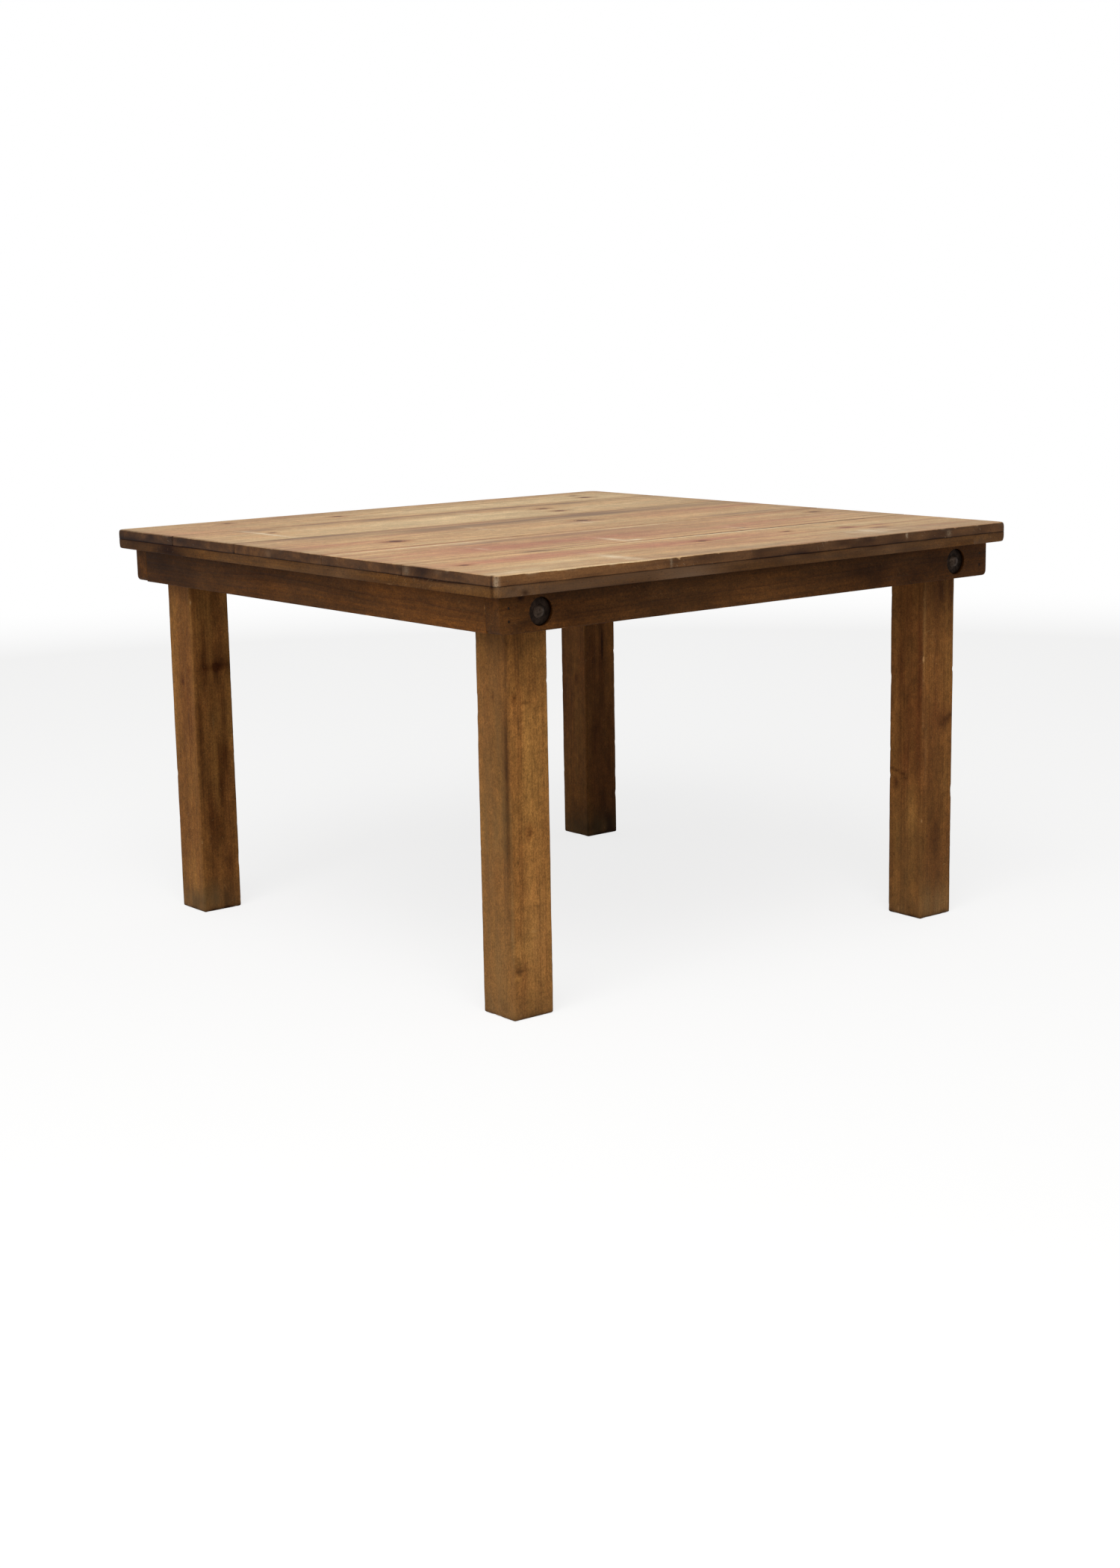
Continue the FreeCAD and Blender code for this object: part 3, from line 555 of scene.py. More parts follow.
# The same pine with most of its stain left.
edge_timber = softwood(
    "stained_pine_battens", stained=("#7a5225", "#5e3b16", "#43270e"),
    bare=("#d2b486", "#b98f63", "#a07650"), weathered="#604b3a", scuffed="#b99a70", stripe_depth=0.5,
    late_depth=0.25, fibre_depth=0.12, cloud_depth=0.24, grit_depth=0.32, knot_depth=0.6, nick_depth=0.12,
    rough=0.58, sheen=0.05,
)
for node, batten in BATTENS.items():
    low, high = node_box(node)
    seed = batten["figure"]["seed"]
    points, faces = sawn_block(low, high, BATTEN_STEP, BATTEN_ARRIS)
    radius = 0.9 + 0.4 * drift(points, (50, 50, 40), seed) + 0.3 * drift(points, (15, 15, 30), seed + 5)
    radius = np.clip(radius, 0.4, BATTEN_ARRIS) + corner_wear(points, low, high, -1)
    points = ease_arrises(points, low, high, radius)
    if node.startswith("end_batten"):
        end = np.sign(low[0])
        points = round_top(round_top(points, end, -1), end, 1)
    # Bare wood on chipped arrises, tone, dust, dirt, painted shade in the groove at the joint above, and a
    # scuffed corner.
    x, z = points[:, 0], points[:, 2]
    chips = patches(points, (12, 12, 9), seed + 7, gain=1.8, floor=0.7)
    fields = growth_figure(points, low, high, batten["axis"], **batten["figure"])
    fields["worn"] = 0.6 * edge_nearness(points, low, high, RAIL_REACH) * chips
    fields["warm"] = 0.4 * drift(points, (300, 300, 40), seed + 8) + soft_marks(points, BATTEN_GOLD)
    fields["grey"] = 0.3 + 0.3 * drift(points, (160, 160, 30), seed + 9)
    fields["grey"] += soft_marks(points, BATTEN_DUST)
    dirt_and_shade = soft_marks(points, BATTEN_SPOTS, (0, 2)) + soft_marks(points, BATTEN_DIRT_AND_SHADE)
    # Painted shade: a dark band along the top of the outer faces, in the groove under the boards.
    dirt_and_shade += 0.5 * on_outside(points) * fade(z - high[2], 1.3)
    dirt_and_shade += (x < left_face + EDGE_SKIN) * soft_marks(points, OPEN_JOINT_SHADE, (1, 2))
    dirt_and_shade += 0.25 * drift(points, (42, 42, 12), seed + 14)
    fields["dirt_and_shade"] = dirt_and_shade + 0.3 * fields.pop("smear")
    fields["scuff"] = 0.12 * front_corner(points)
    hang(mesh_of(points, faces), node, "edge_timber", edge_timber, fields)


# Board screws: zinc-plated wood screws with countersunk heads and a cross recess, driven up through the
# battens, strips and cleat into the boards. Their heads stand a hair proud of the timber.
SCREW_PROUD = 0.3
SCREW_LENGTH = 30.0
THREAD_PITCH = 1.8
BATTEN_SCREW_Y = (584.5, 422.5, 371.5, 200.5, 149.5, -86.5, -137.5, -326.5, -377.5, -584.5)
BATTEN_SCREW_X = 533.5
STRIP_SCREW_X = (-460.5, -230.25, 0.0, 230.25, 460.5)
STRIP_SCREW_Y = 597.0


def turned(profile, origin, axis, sides=32, star=None, loop=False):
    """Surface of a turned part: a profile of radius and height carried round an axis. star raises the
    radius of a row by star |cos 2t|^4 at angle t, which makes a four-armed recess. The profile runs from
    pole to pole, or round a closed loop for a washer."""
    profile, origin, axis = (np.asarray(value, float) for value in (profile, origin, axis))
    first = np.roll(np.abs(axis), 1)
    second = np.cross(axis, first)
    t = np.linspace(0, 2 * np.pi, sides, endpoint=False)
    rows = profile if loop else profile[1:-1]
    arms = np.zeros(len(rows)) if star is None else np.asarray(star, float)
    radius = rows[:, :1] + arms[:, None] * np.cos(2 * t)[None, :] ** 4
    around = np.cos(t)[:, None] * first + np.sin(t)[:, None] * second
    points = (origin + rows[:, 1, None, None] * axis + radius[:, :, None] * around[None]).reshape(-1, 3)
    count = len(rows)
    i, j = np.meshgrid(np.arange(count if loop else count - 1), np.arange(sides), indexing="ij")
    here, there = i * sides, (i + 1) % count * sides
    beside = (j + 1) % sides
    faces = np.stack([here + j, here + beside, there + beside, there + j], axis=-1).reshape(-1, 4).tolist()
    if not loop:
        j = np.arange(sides)
        beside = (j + 1) % sides
        start, end = len(points), len(points) + 1
        last = (count - 1) * sides
        faces += np.stack([np.full(sides, start), beside, j], axis=1).tolist()
        faces += np.stack([np.full(sides, end), last + j, last + beside], axis=1).tolist()
        poles = origin + profile[[0, -1], 1, None] * axis
        points = np.concatenate([points, poles])
    return points, faces


def together(parts):
    """Several surfaces as one list of points and faces."""
    points, faces, start = [], [], 0
    for part_points, part_faces in parts:
        points.append(part_points)
        faces += [[start + k for k in face] for face in part_faces]
        start += len(part_points)
    return np.concatenate(points), faces


def hang_steel(parts, node, slot, material, crease=40):
    """Hangs turned parts as one piece, with edges of more than crease degrees kept sharp."""
    mesh = mesh_of(*together(parts))
    mesh.set_sharp_from_angle(angle=math.radians(crease))
    hang(mesh, node, slot, material, {})


def steel(name, shades, rough, metallic, mottle):
    """Mild steel. Gives the eye a grey that shifts in mottles a few mm wide, with roughness that follows
    them. shades are the clean and the dulled colour as hex, and mottle is the width of a patch in mm."""
    material = bpy.data.materials.new(name)
    add = bare_tree(material)
    place = add("TexCoord", give="Object")
    noise = {"Vector": place, "Scale": 1000 / mottle, "Detail": 4.0, "Roughness": 0.65}
    patch = add("TexNoise", noise)
    share = add("MapRange", (patch, 0.38, 0.66), interpolation_type="SMOOTHSTEP")
    colour = add("Mix", {0: share, 6: linear(shades[0]), 7: linear(shades[1])}, data_type="RGBA")
    dull = add("MapRange", (patch, 0.3, 0.7, rough - 0.1, rough + 0.14))
    grit = add("TexNoise", {"Vector": place, "Scale": 1000 / 0.9, "Detail": 2.0})
    pitted = add("Bump", {"Height": grit, "Strength": 0.35, "Distance": 0.0001}, give="Normal")
    shader = add("BsdfPrincipled", {"Base Color": colour, "Metallic": metallic, "Roughness": dull,
                                    "Normal": pitted})
    add("OutputMaterial", {"Surface": shader})
    return material


def threaded(start, end, root, crest, pitch):
    """Zigzag of root and crest radius up a thread, one crest to a pitch."""
    height = np.arange(start, end, pitch / 2)
    radius = np.where(np.arange(len(height)) % 2, crest, root)
    return [*zip(radius, height)]


def screw(origin, head, arms, thread, tip, length):
    """Screw pointing up from origin: recess floor and wall, the rest of the head, thread and point. arms
    widen the first rows to a cross recess, and tip is the radius 3 mm short of the point."""
    profile = head + thread + [(tip, length - 3), (0, length)]
    star = np.zeros(len(profile) - 2)
    star[:len(arms)] = arms
    return turned(profile, origin, (0, 0, 1), sides=24, star=star)


# Zinc plate: pale grey, dulled in small patches.
zinc_steel = steel("zinc_plated_steel", ("#a9a89f", "#7c776b"), rough=0.36, metallic=1.0, mottle=4.0)
flat_head = [(0, 1.5), (0.35, 1.5), (0.5, 1.2), (0.8, 0), (3.75, 0), (4.0, 0.25), (1.9, 2.4)]
flat_arms = (0.5, 1.2, 1.5)
thread = threaded(6, SCREW_LENGTH - 4, root=1.45, crest=2.0, pitch=THREAD_PITCH)
under_board = node_box("cross_cleat")[0][2] - SCREW_PROUD
screw_places = {
    "batten_screws": [(end * BATTEN_SCREW_X, y, under_board) for end in (-1, 1) for y in BATTEN_SCREW_Y],
    "cleat_screws": [(0.0, y, under_board) for y in BATTEN_SCREW_Y[1:-1]],
    "strip_screws": [(x, side * STRIP_SCREW_Y, under_board) for side in (-1, 1) for x in STRIP_SCREW_X],
}
for node, places in screw_places.items():
    screws = [screw(place, flat_head, flat_arms, thread, tip=1.2, length=SCREW_LENGTH) for place in places]
    hang_steel(screws, node, "zinc_steel", zinc_steel)


# Side aprons: long stained rails under the strips, which run past the end aprons and carry the bolts. Each
# has a round recess over a bolt at both ends, rounded lower corners, nail dents, and counterbores below.
APRON_STEP = 4.0
APRON_ARRIS = 2.6
APRON_CORNER = 9.0
HOLE_CREASE = 35.0
RECESS_RADIUS = 24.0
RECESS_DEPTH = 8.0
BOLT_X = 499.0
BOLT_Z = 694.0
BOLT_HOLE = 5.3
APRON_THICK = 38.0
COUNTERBORE_RADIUS = 6.0
COUNTERBORE_DEPTH = 34.0
SCREW_HOLE = 2.8
SCREW_HOLE_TOP = 66.0
SIDE_SCREW_X = (-379.0, 0.0, 379.0)
APRON_MIDDLE = 565.5
NAIL_Z = (683.0, 705.0)
# Turned plugs for the holes, as radius and depth: a recess and its bolt hole, a nail's dent, a screw's hole.
RECESS = [(0, -1), (RECESS_RADIUS + 1.4, -1), (RECESS_RADIUS, 0.5), (RECESS_RADIUS, RECESS_DEPTH),
          (BOLT_HOLE, RECESS_DEPTH), (BOLT_HOLE, APRON_THICK + 2), (0, APRON_THICK + 2)]
DENT = [(0, -1), (3.1, -1), (2.9, 0.6), (0, 0.6)]
COUNTERBORE = [(0, -1), (COUNTERBORE_RADIUS, -1), (COUNTERBORE_RADIUS, COUNTERBORE_DEPTH),
               (SCREW_HOLE, COUNTERBORE_DEPTH), (SCREW_HOLE, SCREW_HOLE_TOP), (0, SCREW_HOLE_TOP)]
# Paler tone, and dirt and painted shade, on the outer faces: x, z, half length, half height, strength.
# The band along the top edge is painted shade under the strips.
SIDE_GOLD = [(5, 694, 80, 40, -0.35)]
SIDE_DIRT_AND_SHADE = [(-541, 720, 9, 6, 0.9), (0, 726, 600, 7, 0.45), (-420, 694, 130, 60, 0.35),
             (-160, 694, 110, 60, 0.2), (200, 694, 130, 60, 0.35), (460, 694, 150, 60, 0.55)]
SIDE_APRONS = {
    "side_apron_near": {"side": -1, "figure": {"pith": (55, 26), "ring": 3.4, "lean": 14, "seed": 31}},
    "side_apron_far": {"side": 1, "figure": {"pith": (-50, 30), "ring": 3.6, "lean": -12, "seed": 32}},
}


def drilled(mesh, plugs):
    """The mesh with holes: Blender's exact Boolean takes the turned plugs away from it."""
    block = bpy.data.objects.new("block", mesh)
    tool = bpy.data.objects.new("tool", mesh_of(*together(plugs)))
    for item in (block, tool):
        bpy.context.scene.collection.objects.link(item)
    cut = block.modifiers.new("holes", "BOOLEAN")
    cut.operation = "DIFFERENCE"
    cut.solver = "EXACT"
    cut.object = tool
    bpy.context.view_layer.update()
    result = bpy.data.meshes.new_from_object(block.evaluated_get(bpy.context.evaluated_depsgraph_get()))
    for item in (block, tool):
        bpy.data.objects.remove(item)
    result.set_sharp_from_angle(angle=math.radians(HOLE_CREASE))
    return result


def rail_fields(points, low, high, axis, figure, dust, patchy):
    """Fields of an apron: arrises rubbed in patches, warm streaks 320 mm long, thin dust and patchy dirt."""
    seed = figure["seed"]
    along = np.arange(3) == axis
    fields = growth_figure(points, low, high, axis, **figure)
    chips = patches(points, (24, 24, 12), seed + 7, gain=1.4, floor=0.3)
    fields["worn"] = np.clip(1.1 * edge_nearness(points, low, high, RAIL_REACH) * chips, 0, 1)
    fields["warm"] = 0.1 + 0.4 * drift(points, np.where(along, 320, 40), seed + 8)
    fields["grey"] = dust + dust * drift(points, np.where(along, 120, 40), seed + 9)
    fields["dirt_and_shade"] = patchy * drift(points, (48, 48, 26), seed + 14) + 0.3 * fields.pop("smear")
    return fields


# Pine under a dark stain that use has hardly touched.
apron_timber = softwood(
    "dark_stained_pine_aprons", stained=("#70431a", "#4d2d10", "#321a07"),
    bare=("#b98d5c", "#946a42", "#7a5232"), weathered="#54402c", scuffed="#a58458", stripe_depth=0.4,
    late_depth=0.35, fibre_depth=0.14, cloud_depth=0.22, grit_depth=0.36, knot_depth=0.6, nick_depth=0.08,
    rough=0.56, sheen=0.05,
)
for node, apron in SIDE_APRONS.items():
    low, high = node_box(node)
    side, seed = apron["side"], apron["figure"]["seed"]
    points, faces = sawn_block(low, high, APRON_STEP, APRON_ARRIS)
    radius = 1.3 + 0.5 * drift(points, (70, 40, 40), seed) + 0.4 * drift(points, (18, 18, 18), seed + 5)
    points = ease_arrises(points, low, high, np.clip(radius, 0.5, APRON_ARRIS))
    face = side * np.abs([low[1], high[1]]).max()
    plugs = []
    for end in (-1, 1):
        points = round_corner(points, (0, 2), (end * high[0], low[2]), (end, -1), APRON_CORNER)
        plugs.append(turned(RECESS, (end * BOLT_X, face, BOLT_Z), (0, -side, 0), sides=96))
        for z in NAIL_Z:
            plugs.append(turned(DENT, (end * APRON_MIDDLE, face, z), (0, -side, 0), sides=20))
    plugs += [turned(COUNTERBORE, (x, side * APRON_MIDDLE, low[2]), (0, 0, 1)) for x in SIDE_SCREW_X]
    mesh = drilled(mesh_of(points, faces), plugs)
    points = points_of(mesh)
    x, y, z = points.T
    fields = rail_fields(points, low, high, 0, apron["figure"], dust=0.12, patchy=0.25)
    fields["warm"] += soft_marks(points, SIDE_GOLD, (0, 2))
    # Painted shade and old dirt darken the recess walls round the bolt heads.
    recess_shade = np.clip((high[1] - low[1]) / 2 - np.abs(y - (low + high)[1] / 2) - 1.5, 0, 1)
    fields["dirt_and_shade"] += recess_shade * (np.hypot(np.abs(x) - BOLT_X, z - BOLT_Z) < RECESS_RADIUS + 1)
    fields["dirt_and_shade"] += soft_marks(points, SIDE_DIRT_AND_SHADE, (0, 2))
    hang(mesh, node, "apron_timber", apron_timber, fields)


# End aprons: shorter rails of the same stained timber, butted between the side aprons and nailed through
# them. Each has three counterbored screw holes from below.
END_SCREW_Y = (-426.5, 0.0, 426.5)
END_APRONS = {
    "end_apron_left": {"end": -1, "figure": {"pith": (44, 30), "ring": 3.2, "lean": 16, "seed": 33}},
    "end_apron_right": {"end": 1, "figure": {"pith": (-46, 24), "ring": 3.5, "lean": -15, "seed": 34}},
}
# The same by y, with painted shade along the top edge under the battens.
END_GOLD = [(-370, 694, 240, 60, -0.6)]
END_DIRT_AND_SHADE = [(0, 726, 600, 6, 0.35), (470, 694, 150, 60, 0.5)]
for node, apron in END_APRONS.items():
    low, high = node_box(node)
    seed = apron["figure"]["seed"]
    points, faces = sawn_block(low, high, APRON_STEP, APRON_ARRIS)
    radius = 1.2 + 0.5 * drift(points, (40, 70, 40), seed) + 0.3 * drift(points, (18, 18, 18), seed + 5)
    points = ease_arrises(points, low, high, np.clip(radius, 0.5, APRON_ARRIS))
    plugs = [turned(COUNTERBORE, (apron["end"] * APRON_MIDDLE, y, low[2]), (0, 0, 1)) for y in END_SCREW_Y]
    mesh = drilled(mesh_of(points, faces), plugs)
    points = points_of(mesh)
    fields = rail_fields(points, low, high, 1, apron["figure"], dust=0.1, patchy=0.2)
    fields["warm"] += soft_marks(points, END_GOLD, (1, 2))
    fields["dirt_and_shade"] += soft_marks(points, END_DIRT_AND_SHADE, (1, 2))
    hang(mesh, node, "apron_timber", apron_timber, fields)


# Apron screws and corner nails: pan-headed screws at the bottom of the counterbores pull the aprons up to
# the battens and strips, and two dull wire nails at each corner hold the end aprons.
APRON_SCREW_Z = 696.0
APRON_SCREW_LENGTH = 44.0
NAIL_LENGTH = 75.0
NAIL_SUNK = 0.4
CORNERS = [(end, side) for end in (-1, 1) for side in (-1, 1)]


def wire_nail(x, face, z, inward):
    """Wire nail driven inwards from an apron's face: low domed head, shank and point."""
    profile = [(0, NAIL_SUNK), (1.6, NAIL_SUNK + 0.05), (2.6, NAIL_SUNK + 0.3), (2.75, NAIL_SUNK + 0.7),
               (2.6, 1.5), (1.7, 1.7), (1.7, NAIL_LENGTH - 6), (0, NAIL_LENGTH)]
    return turned(profile, (x, face, z), (0, inward, 0), sides=20)


places = [(x, side * APRON_MIDDLE, APRON_SCREW_Z) for side in (-1, 1) for x in SIDE_SCREW_X]
places += [(end * APRON_MIDDLE, y, APRON_SCREW_Z) for end in (-1, 1) for y in END_SCREW_Y]
pan_head = [(0, -1.8), (0.5, -1.8), (0.7, -2.2), (1.0, -3.5), (3.6, -3.4), (4.7, -2.4), (5.0, -0.4),
            (4.8, 0), (2.2, 0)]
pan_arms = (0.6, 1.4, 1.7)
thread = threaded(8, APRON_SCREW_LENGTH - 5, root=1.9, crest=2.5, pitch=2.2)
screws = [screw(place, pan_head, pan_arms, thread, tip=1.3, length=APRON_SCREW_LENGTH) for place in places]
hang_steel(screws, "apron_screws", "zinc_steel", zinc_steel)

# Bare steel gone black with rust and wood tannin.
dark_steel = steel("rust_blackened_steel", ("#2b1f17", "#170e08"), rough=0.6, metallic=0.9, mottle=7.0)
apron_face = np.abs(node_box("side_apron_near")[0][1])
nails = []
for end, side in CORNERS:
    for z in NAIL_Z:
        nails.append(wire_nail(end * APRON_MIDDLE, side * apron_face, z, -side))
hang_steel(nails, "corner_nails", "dark_steel", dark_steel)


# Legs: square posts of stained softwood with worn arrises and scuffed feet. The head is cut back so that it
# turns clear of the end apron and batten, and a bolt hole goes through it from face to face.
LEG_STEP = (3.4, 3.4, 4.0)
LEG_ARRIS = 6.5
LEG_REACH = 7.0
LEG_SKIN = 5.0
FOOT_WEAR = 40.0
HEAD_FROM = 640.0
BORE_REACH = 50.0
BORE = [(0, -BORE_REACH), (BOLT_HOLE, -BORE_REACH), (BOLT_HOLE, BORE_REACH), (0, BORE_REACH)]
# Height of the head by the distance from the leg's middle towards the middle of the table.
HEAD_SHAPE = ((-42.5, -34.66, 21.19, 42.5), (712.87, 725.0, 725.0, 692.0))
# Marks on the near faces: field, axis the face looks along, across, z, half width, half height, strength.
# Dark marks at the head under the apron, and over the whole near face of the left and back legs under the
# table, are painted shade.
LEGS = {
    "leg_front": {
        "body": "front_leg", "end": -1, "warm": -0.05, "dirt_and_shade": 0.0, "nicks": 0.12,
        "figure": {"pith": (200, 25), "ring": 5.6, "lean": 9, "seed": 41, "wander": 4},
        "knots": [(549, -527, 4, 1, -1), (322, -501, 6, 1, -1), (84, -529, 6, 1, -1), (549, -505, 3, 0, -1)],
        "marks": [
            ("grey", 0, -502, 300, 60, 420, 0.4), ("dirt_and_shade", 0, -540, 420, 6, 220, 0.75),
            ("dirt_and_shade", 0, -530, 400, 10, 260, 0.25), ("dirt_and_shade", 0, -502, 665, 60, 70, 0.25),
            ("warm", 0, -500, 300, 60, 130, -0.2), ("scuff", 0, -502, 90, 60, 90, 0.06),
            ("warm", 1, -516, 480, 22, 150, -0.3), ("dirt_and_shade", 1, -500, 640, 60, 95, 0.5),
            ("warm", 1, -500, 190, 60, 110, -0.15), ("warm", 1, -522, 124, 18, 16, -0.5),
            ("warm", 1, -532, 74, 7, 5, -0.9), ("dirt_and_shade", 1, -522, 86, 14, 2, 0.7),
            ("dirt_and_shade", 1, -510, 540, 18, 2.5, 0.3), ("dirt_and_shade", 1, -492, 193, 16, 2.2, 0.3),
            ("scuff", 1, -498, 150, 6, 1.6, 0.15), ("scuff", 1, -500, 130, 60, 90, 0.06),
        ],
    },
    "leg_left": {
        "body": "left_leg", "end": -1, "warm": 0.0, "dirt_and_shade": 0.05, "nicks": 0.05,
        "figure": {"pith": (-180, 60), "ring": 5.4, "lean": -8, "seed": 42, "wander": 5},
        "knots": [(463, 503, 5, 0, -1), (488, 478, 4, 0, -1), (496, -477, 6, 1, -1)],
        "marks": [
            # The near face, under the table, is darkened all over as painted shade.
            ("dirt_and_shade", 1, -499, 500, 60, 60, 0.2), ("dirt_and_shade", 1, -499, 340, 60, 600, 0.5),
            ("dirt_and_shade", 1, -490, 492, 30, 8, 0.3), ("warm", 0, 490, 270, 16, 80, -0.4),
            ("dirt_and_shade", 0, 502, 300, 60, 190, 0.15), ("warm", 0, 500, 610, 60, 50, -0.3),
            ("dirt_and_shade", 0, 502, 200, 60, 80, 0.1), ("grey", 0, 480, 22, 60, 22, 0.4),
            ("grey", 1, -515, 30, 30, 30, 0.5), ("dirt_and_shade", 1, -499, 310, 60, 120, 0.3),
            ("scuff", 1, -503, 380, 1.8, 14, 0.12),
        ],
    },
    "leg_right": {
        "body": "right_leg", "end": 1, "warm": 0.1, "dirt_and_shade": 0.15, "nicks": 0.05,
        "figure": {"pith": (120, -120), "ring": 5.0, "lean": 10, "seed": 43, "wander": 6},
        "knots": [(262, -478, 5, 0, -1)],
        "marks": [
            ("warm", 0, -500, 420, 60, 240, 0.4), ("dirt_and_shade", 0, -500, 560, 60, 130, 0.12),
            ("warm", 0, -518, 210, 14, 60, -0.6), ("dirt_and_shade", 0, -466, 288, 8, 2.6, 0.5),
            ("dirt_and_shade", 0, -480, 286, 9, 2.6, 0.55), ("dirt_and_shade", 0, -493, 281, 8, 3.0, 0.5),
            ("dirt_and_shade", 0, -503, 273, 6, 4.0, 0.4), ("warm", 1, 480, 520, 10, 90, -0.5),
            ("warm", 1, 462, 540, 5, 70, -0.6), ("dirt_and_shade", 1, 536, 393, 8, 4, 0.4),
            ("dirt_and_shade", 1, 524, 386, 9, 5, 0.4), ("dirt_and_shade", 1, 512, 378, 7, 4, 0.3),
            ("dirt_and_shade", 1, 528, 240, 14, 2.6, 0.4), ("warm", 1, 520, 385, 20, 20, 0.4),
            ("dirt_and_shade", 1, 500, 630, 60, 70, 0.6), ("dirt_and_shade", 1, 500, 170, 60, 90, 0.25),
            ("scuff", 1, 500, 30, 60, 30, 0.1), ("grey", 0, -500, 100, 60, 130, 0.25),
            ("grey", 1, 500, 60, 60, 70, 0.2), ("warm", 1, 490, 480, 40, 60, -0.25),
            ("dirt_and_shade", 0, -500, 130, 60, 60, 0.15), ("scuff", 1, 459, 560, 2.5, 110, 0.14),
            ("scuff", 1, 466, 330, 3, 60, 0.08),
        ],
    },
    "leg_back": {
        "body": "back_leg", "end": 1, "warm": 0.2, "dirt_and_shade": 0.15, "nicks": 0.05,
        "figure": {"pith": (-150, 70), "ring": 5.2, "lean": -10, "seed": 44, "wander": 5},
        "knots": [(360, 495, 6, 0, -1), (520, 512, 7, 1, -1)],
        "marks": [
            # The near face, under the table, is darkened all over as painted shade.
            ("dirt_and_shade", 1, 499, 340, 60, 600, 0.45), ("dirt_and_shade", 1, 505, 432, 1.8, 24, 1.0),
            ("grey", 0, 500, 20, 60, 30, 0.5), ("grey", 1, 500, 20, 60, 30, 0.6),
            ("dirt_and_shade", 0, 500, 40, 60, 60, 0.4), ("dirt_and_shade", 1, 500, 30, 60, 50, 0.3),
        ],
    },
}
# Golden pine under a thin stain, with dust in the grain.
leg_timber = softwood(
    "stained_pine_posts", stained=("#a3733a", "#825529", "#5f3518"), bare=("#d2b07e", "#b98e5f", "#9c7048"),
    weathered="#644f32", scuffed="#c9a26a", stripe_depth=0.26, late_depth=0.26, fibre_depth=0.12,
    cloud_depth=0.25, grit_depth=0.32, knot_depth=0.3, nick_depth=0.13, rough=0.56, sheen=0.05,
)
for node, leg in LEGS.items():
    low, high = node_box(node)
    seed, end = leg["figure"]["seed"], leg["end"]
    middle = (low + high) / 2
    points, faces = sawn_block(low, high, LEG_STEP, LEG_ARRIS)
    radius = 3.4 + 0.8 * drift(points, (60, 60, 90), seed) + 0.5 * drift(points, (25, 25, 22), seed + 5)
    radius += 2.4 * patches(points, (9, 9, 13), seed + 7, gain=2, floor=0.9)
    radius += 0.8 * fade(points[:, 2], FOOT_WEAR)
    points = ease_arrises(points, low, high, np.clip(radius, 2.0, LEG_ARRIS))
    # Above the shoulder the post is drawn up to the outline of its head, and then it is drilled.
    head_top = np.interp(-end * (points[:, 0] - middle[0]), *HEAD_SHAPE)
    raised = np.clip(points[:, 2] - HEAD_FROM, 0, None)
    stretched = HEAD_FROM + raised * (head_top - HEAD_FROM) / (high[2] - HEAD_FROM)
    points[:, 2] = np.where(raised > 0, stretched, points[:, 2])
    plug = turned(BORE, (end * BOLT_X, middle[1], BOLT_Z), (0, 1, 0), sides=48)
    mesh = drilled(mesh_of(points, faces), [plug])
    points = points_of(mesh)
    # Bare wood on arrises and foot, tone along the post, dust, dirt and painted shade, and the marks on its
    # faces.
    foot = fade(points[:, 2], FOOT_WEAR)
    chips = patches(points, (9, 9, 13), seed + 7, gain=1.8, floor=0.7)
    arris = edge_nearness(points, low, high, LEG_REACH)
    fields = growth_figure(points, low, high, 2, knots=leg["knots"], **leg["figure"])
    fields["worn"] = np.clip(arris * chips + 0.25 * foot * (1 + drift(points, (18, 18, 12), seed + 4)), 0, 1)
    fields["warm"] = leg["warm"] + 0.35 * drift(points, (45, 45, 420), seed + 8)
    fields["grey"] = 0.05 + 0.15 * arris * (1 + drift(points, (60, 60, 150), seed + 9)) + 0.3 * foot
    # Each leg's own darkening is painted shade in part: more on the right and back legs, further from the
    # lamp.
    fields["dirt_and_shade"] = leg["dirt_and_shade"] + 0.5 * foot * patches(points, (26, 26, 20), seed + 10, gain=1, floor=0)
    fields["dirt_and_shade"] += 0.6 * fade(points[:, 2], 5) + 0.2 * fields.pop("smear")
    fields["scuff"] = leg["nicks"] * arris * chips
    ragged = 1 + 0.5 * drift(points, (14, 14, 80), seed + 11)
    for field, axis, *mark in leg["marks"]:
        on_face = np.clip(1 - (points[:, axis] - low[axis]) / LEG_SKIN, 0, 1)
        fields[field] += ragged * on_face * soft_marks(points, [mark], (1 - axis, 2))
    hang(mesh, node, "leg_timber", leg_timber, fields, leg["body"])


# Pivot bolts: one round-headed steel bolt to each leg, brown with age. The domed head sits in the apron's
# recess, and the shank passes through apron and leg to a lock nut on the inside.
BOLT_RADIUS = 5.0
HEAD_RADIUS = 12.3
HEAD_HEIGHT = 5.4
HEAD_SUNK = 0.1
BOLT_END = 140.4
THREAD_FROM = 122.0
THREAD_ROOT = BOLT_RADIUS - 0.6
DOME_RADIUS = (HEAD_RADIUS**2 + HEAD_HEIGHT**2) / (2 * HEAD_HEIGHT)


def bolt_seat(end, side):
    """Where a bolt's axis meets the apron's outer face, and the direction inwards."""
    return np.array([end * BOLT_X, side * apron_face, BOLT_Z]), (0, -side, 0)


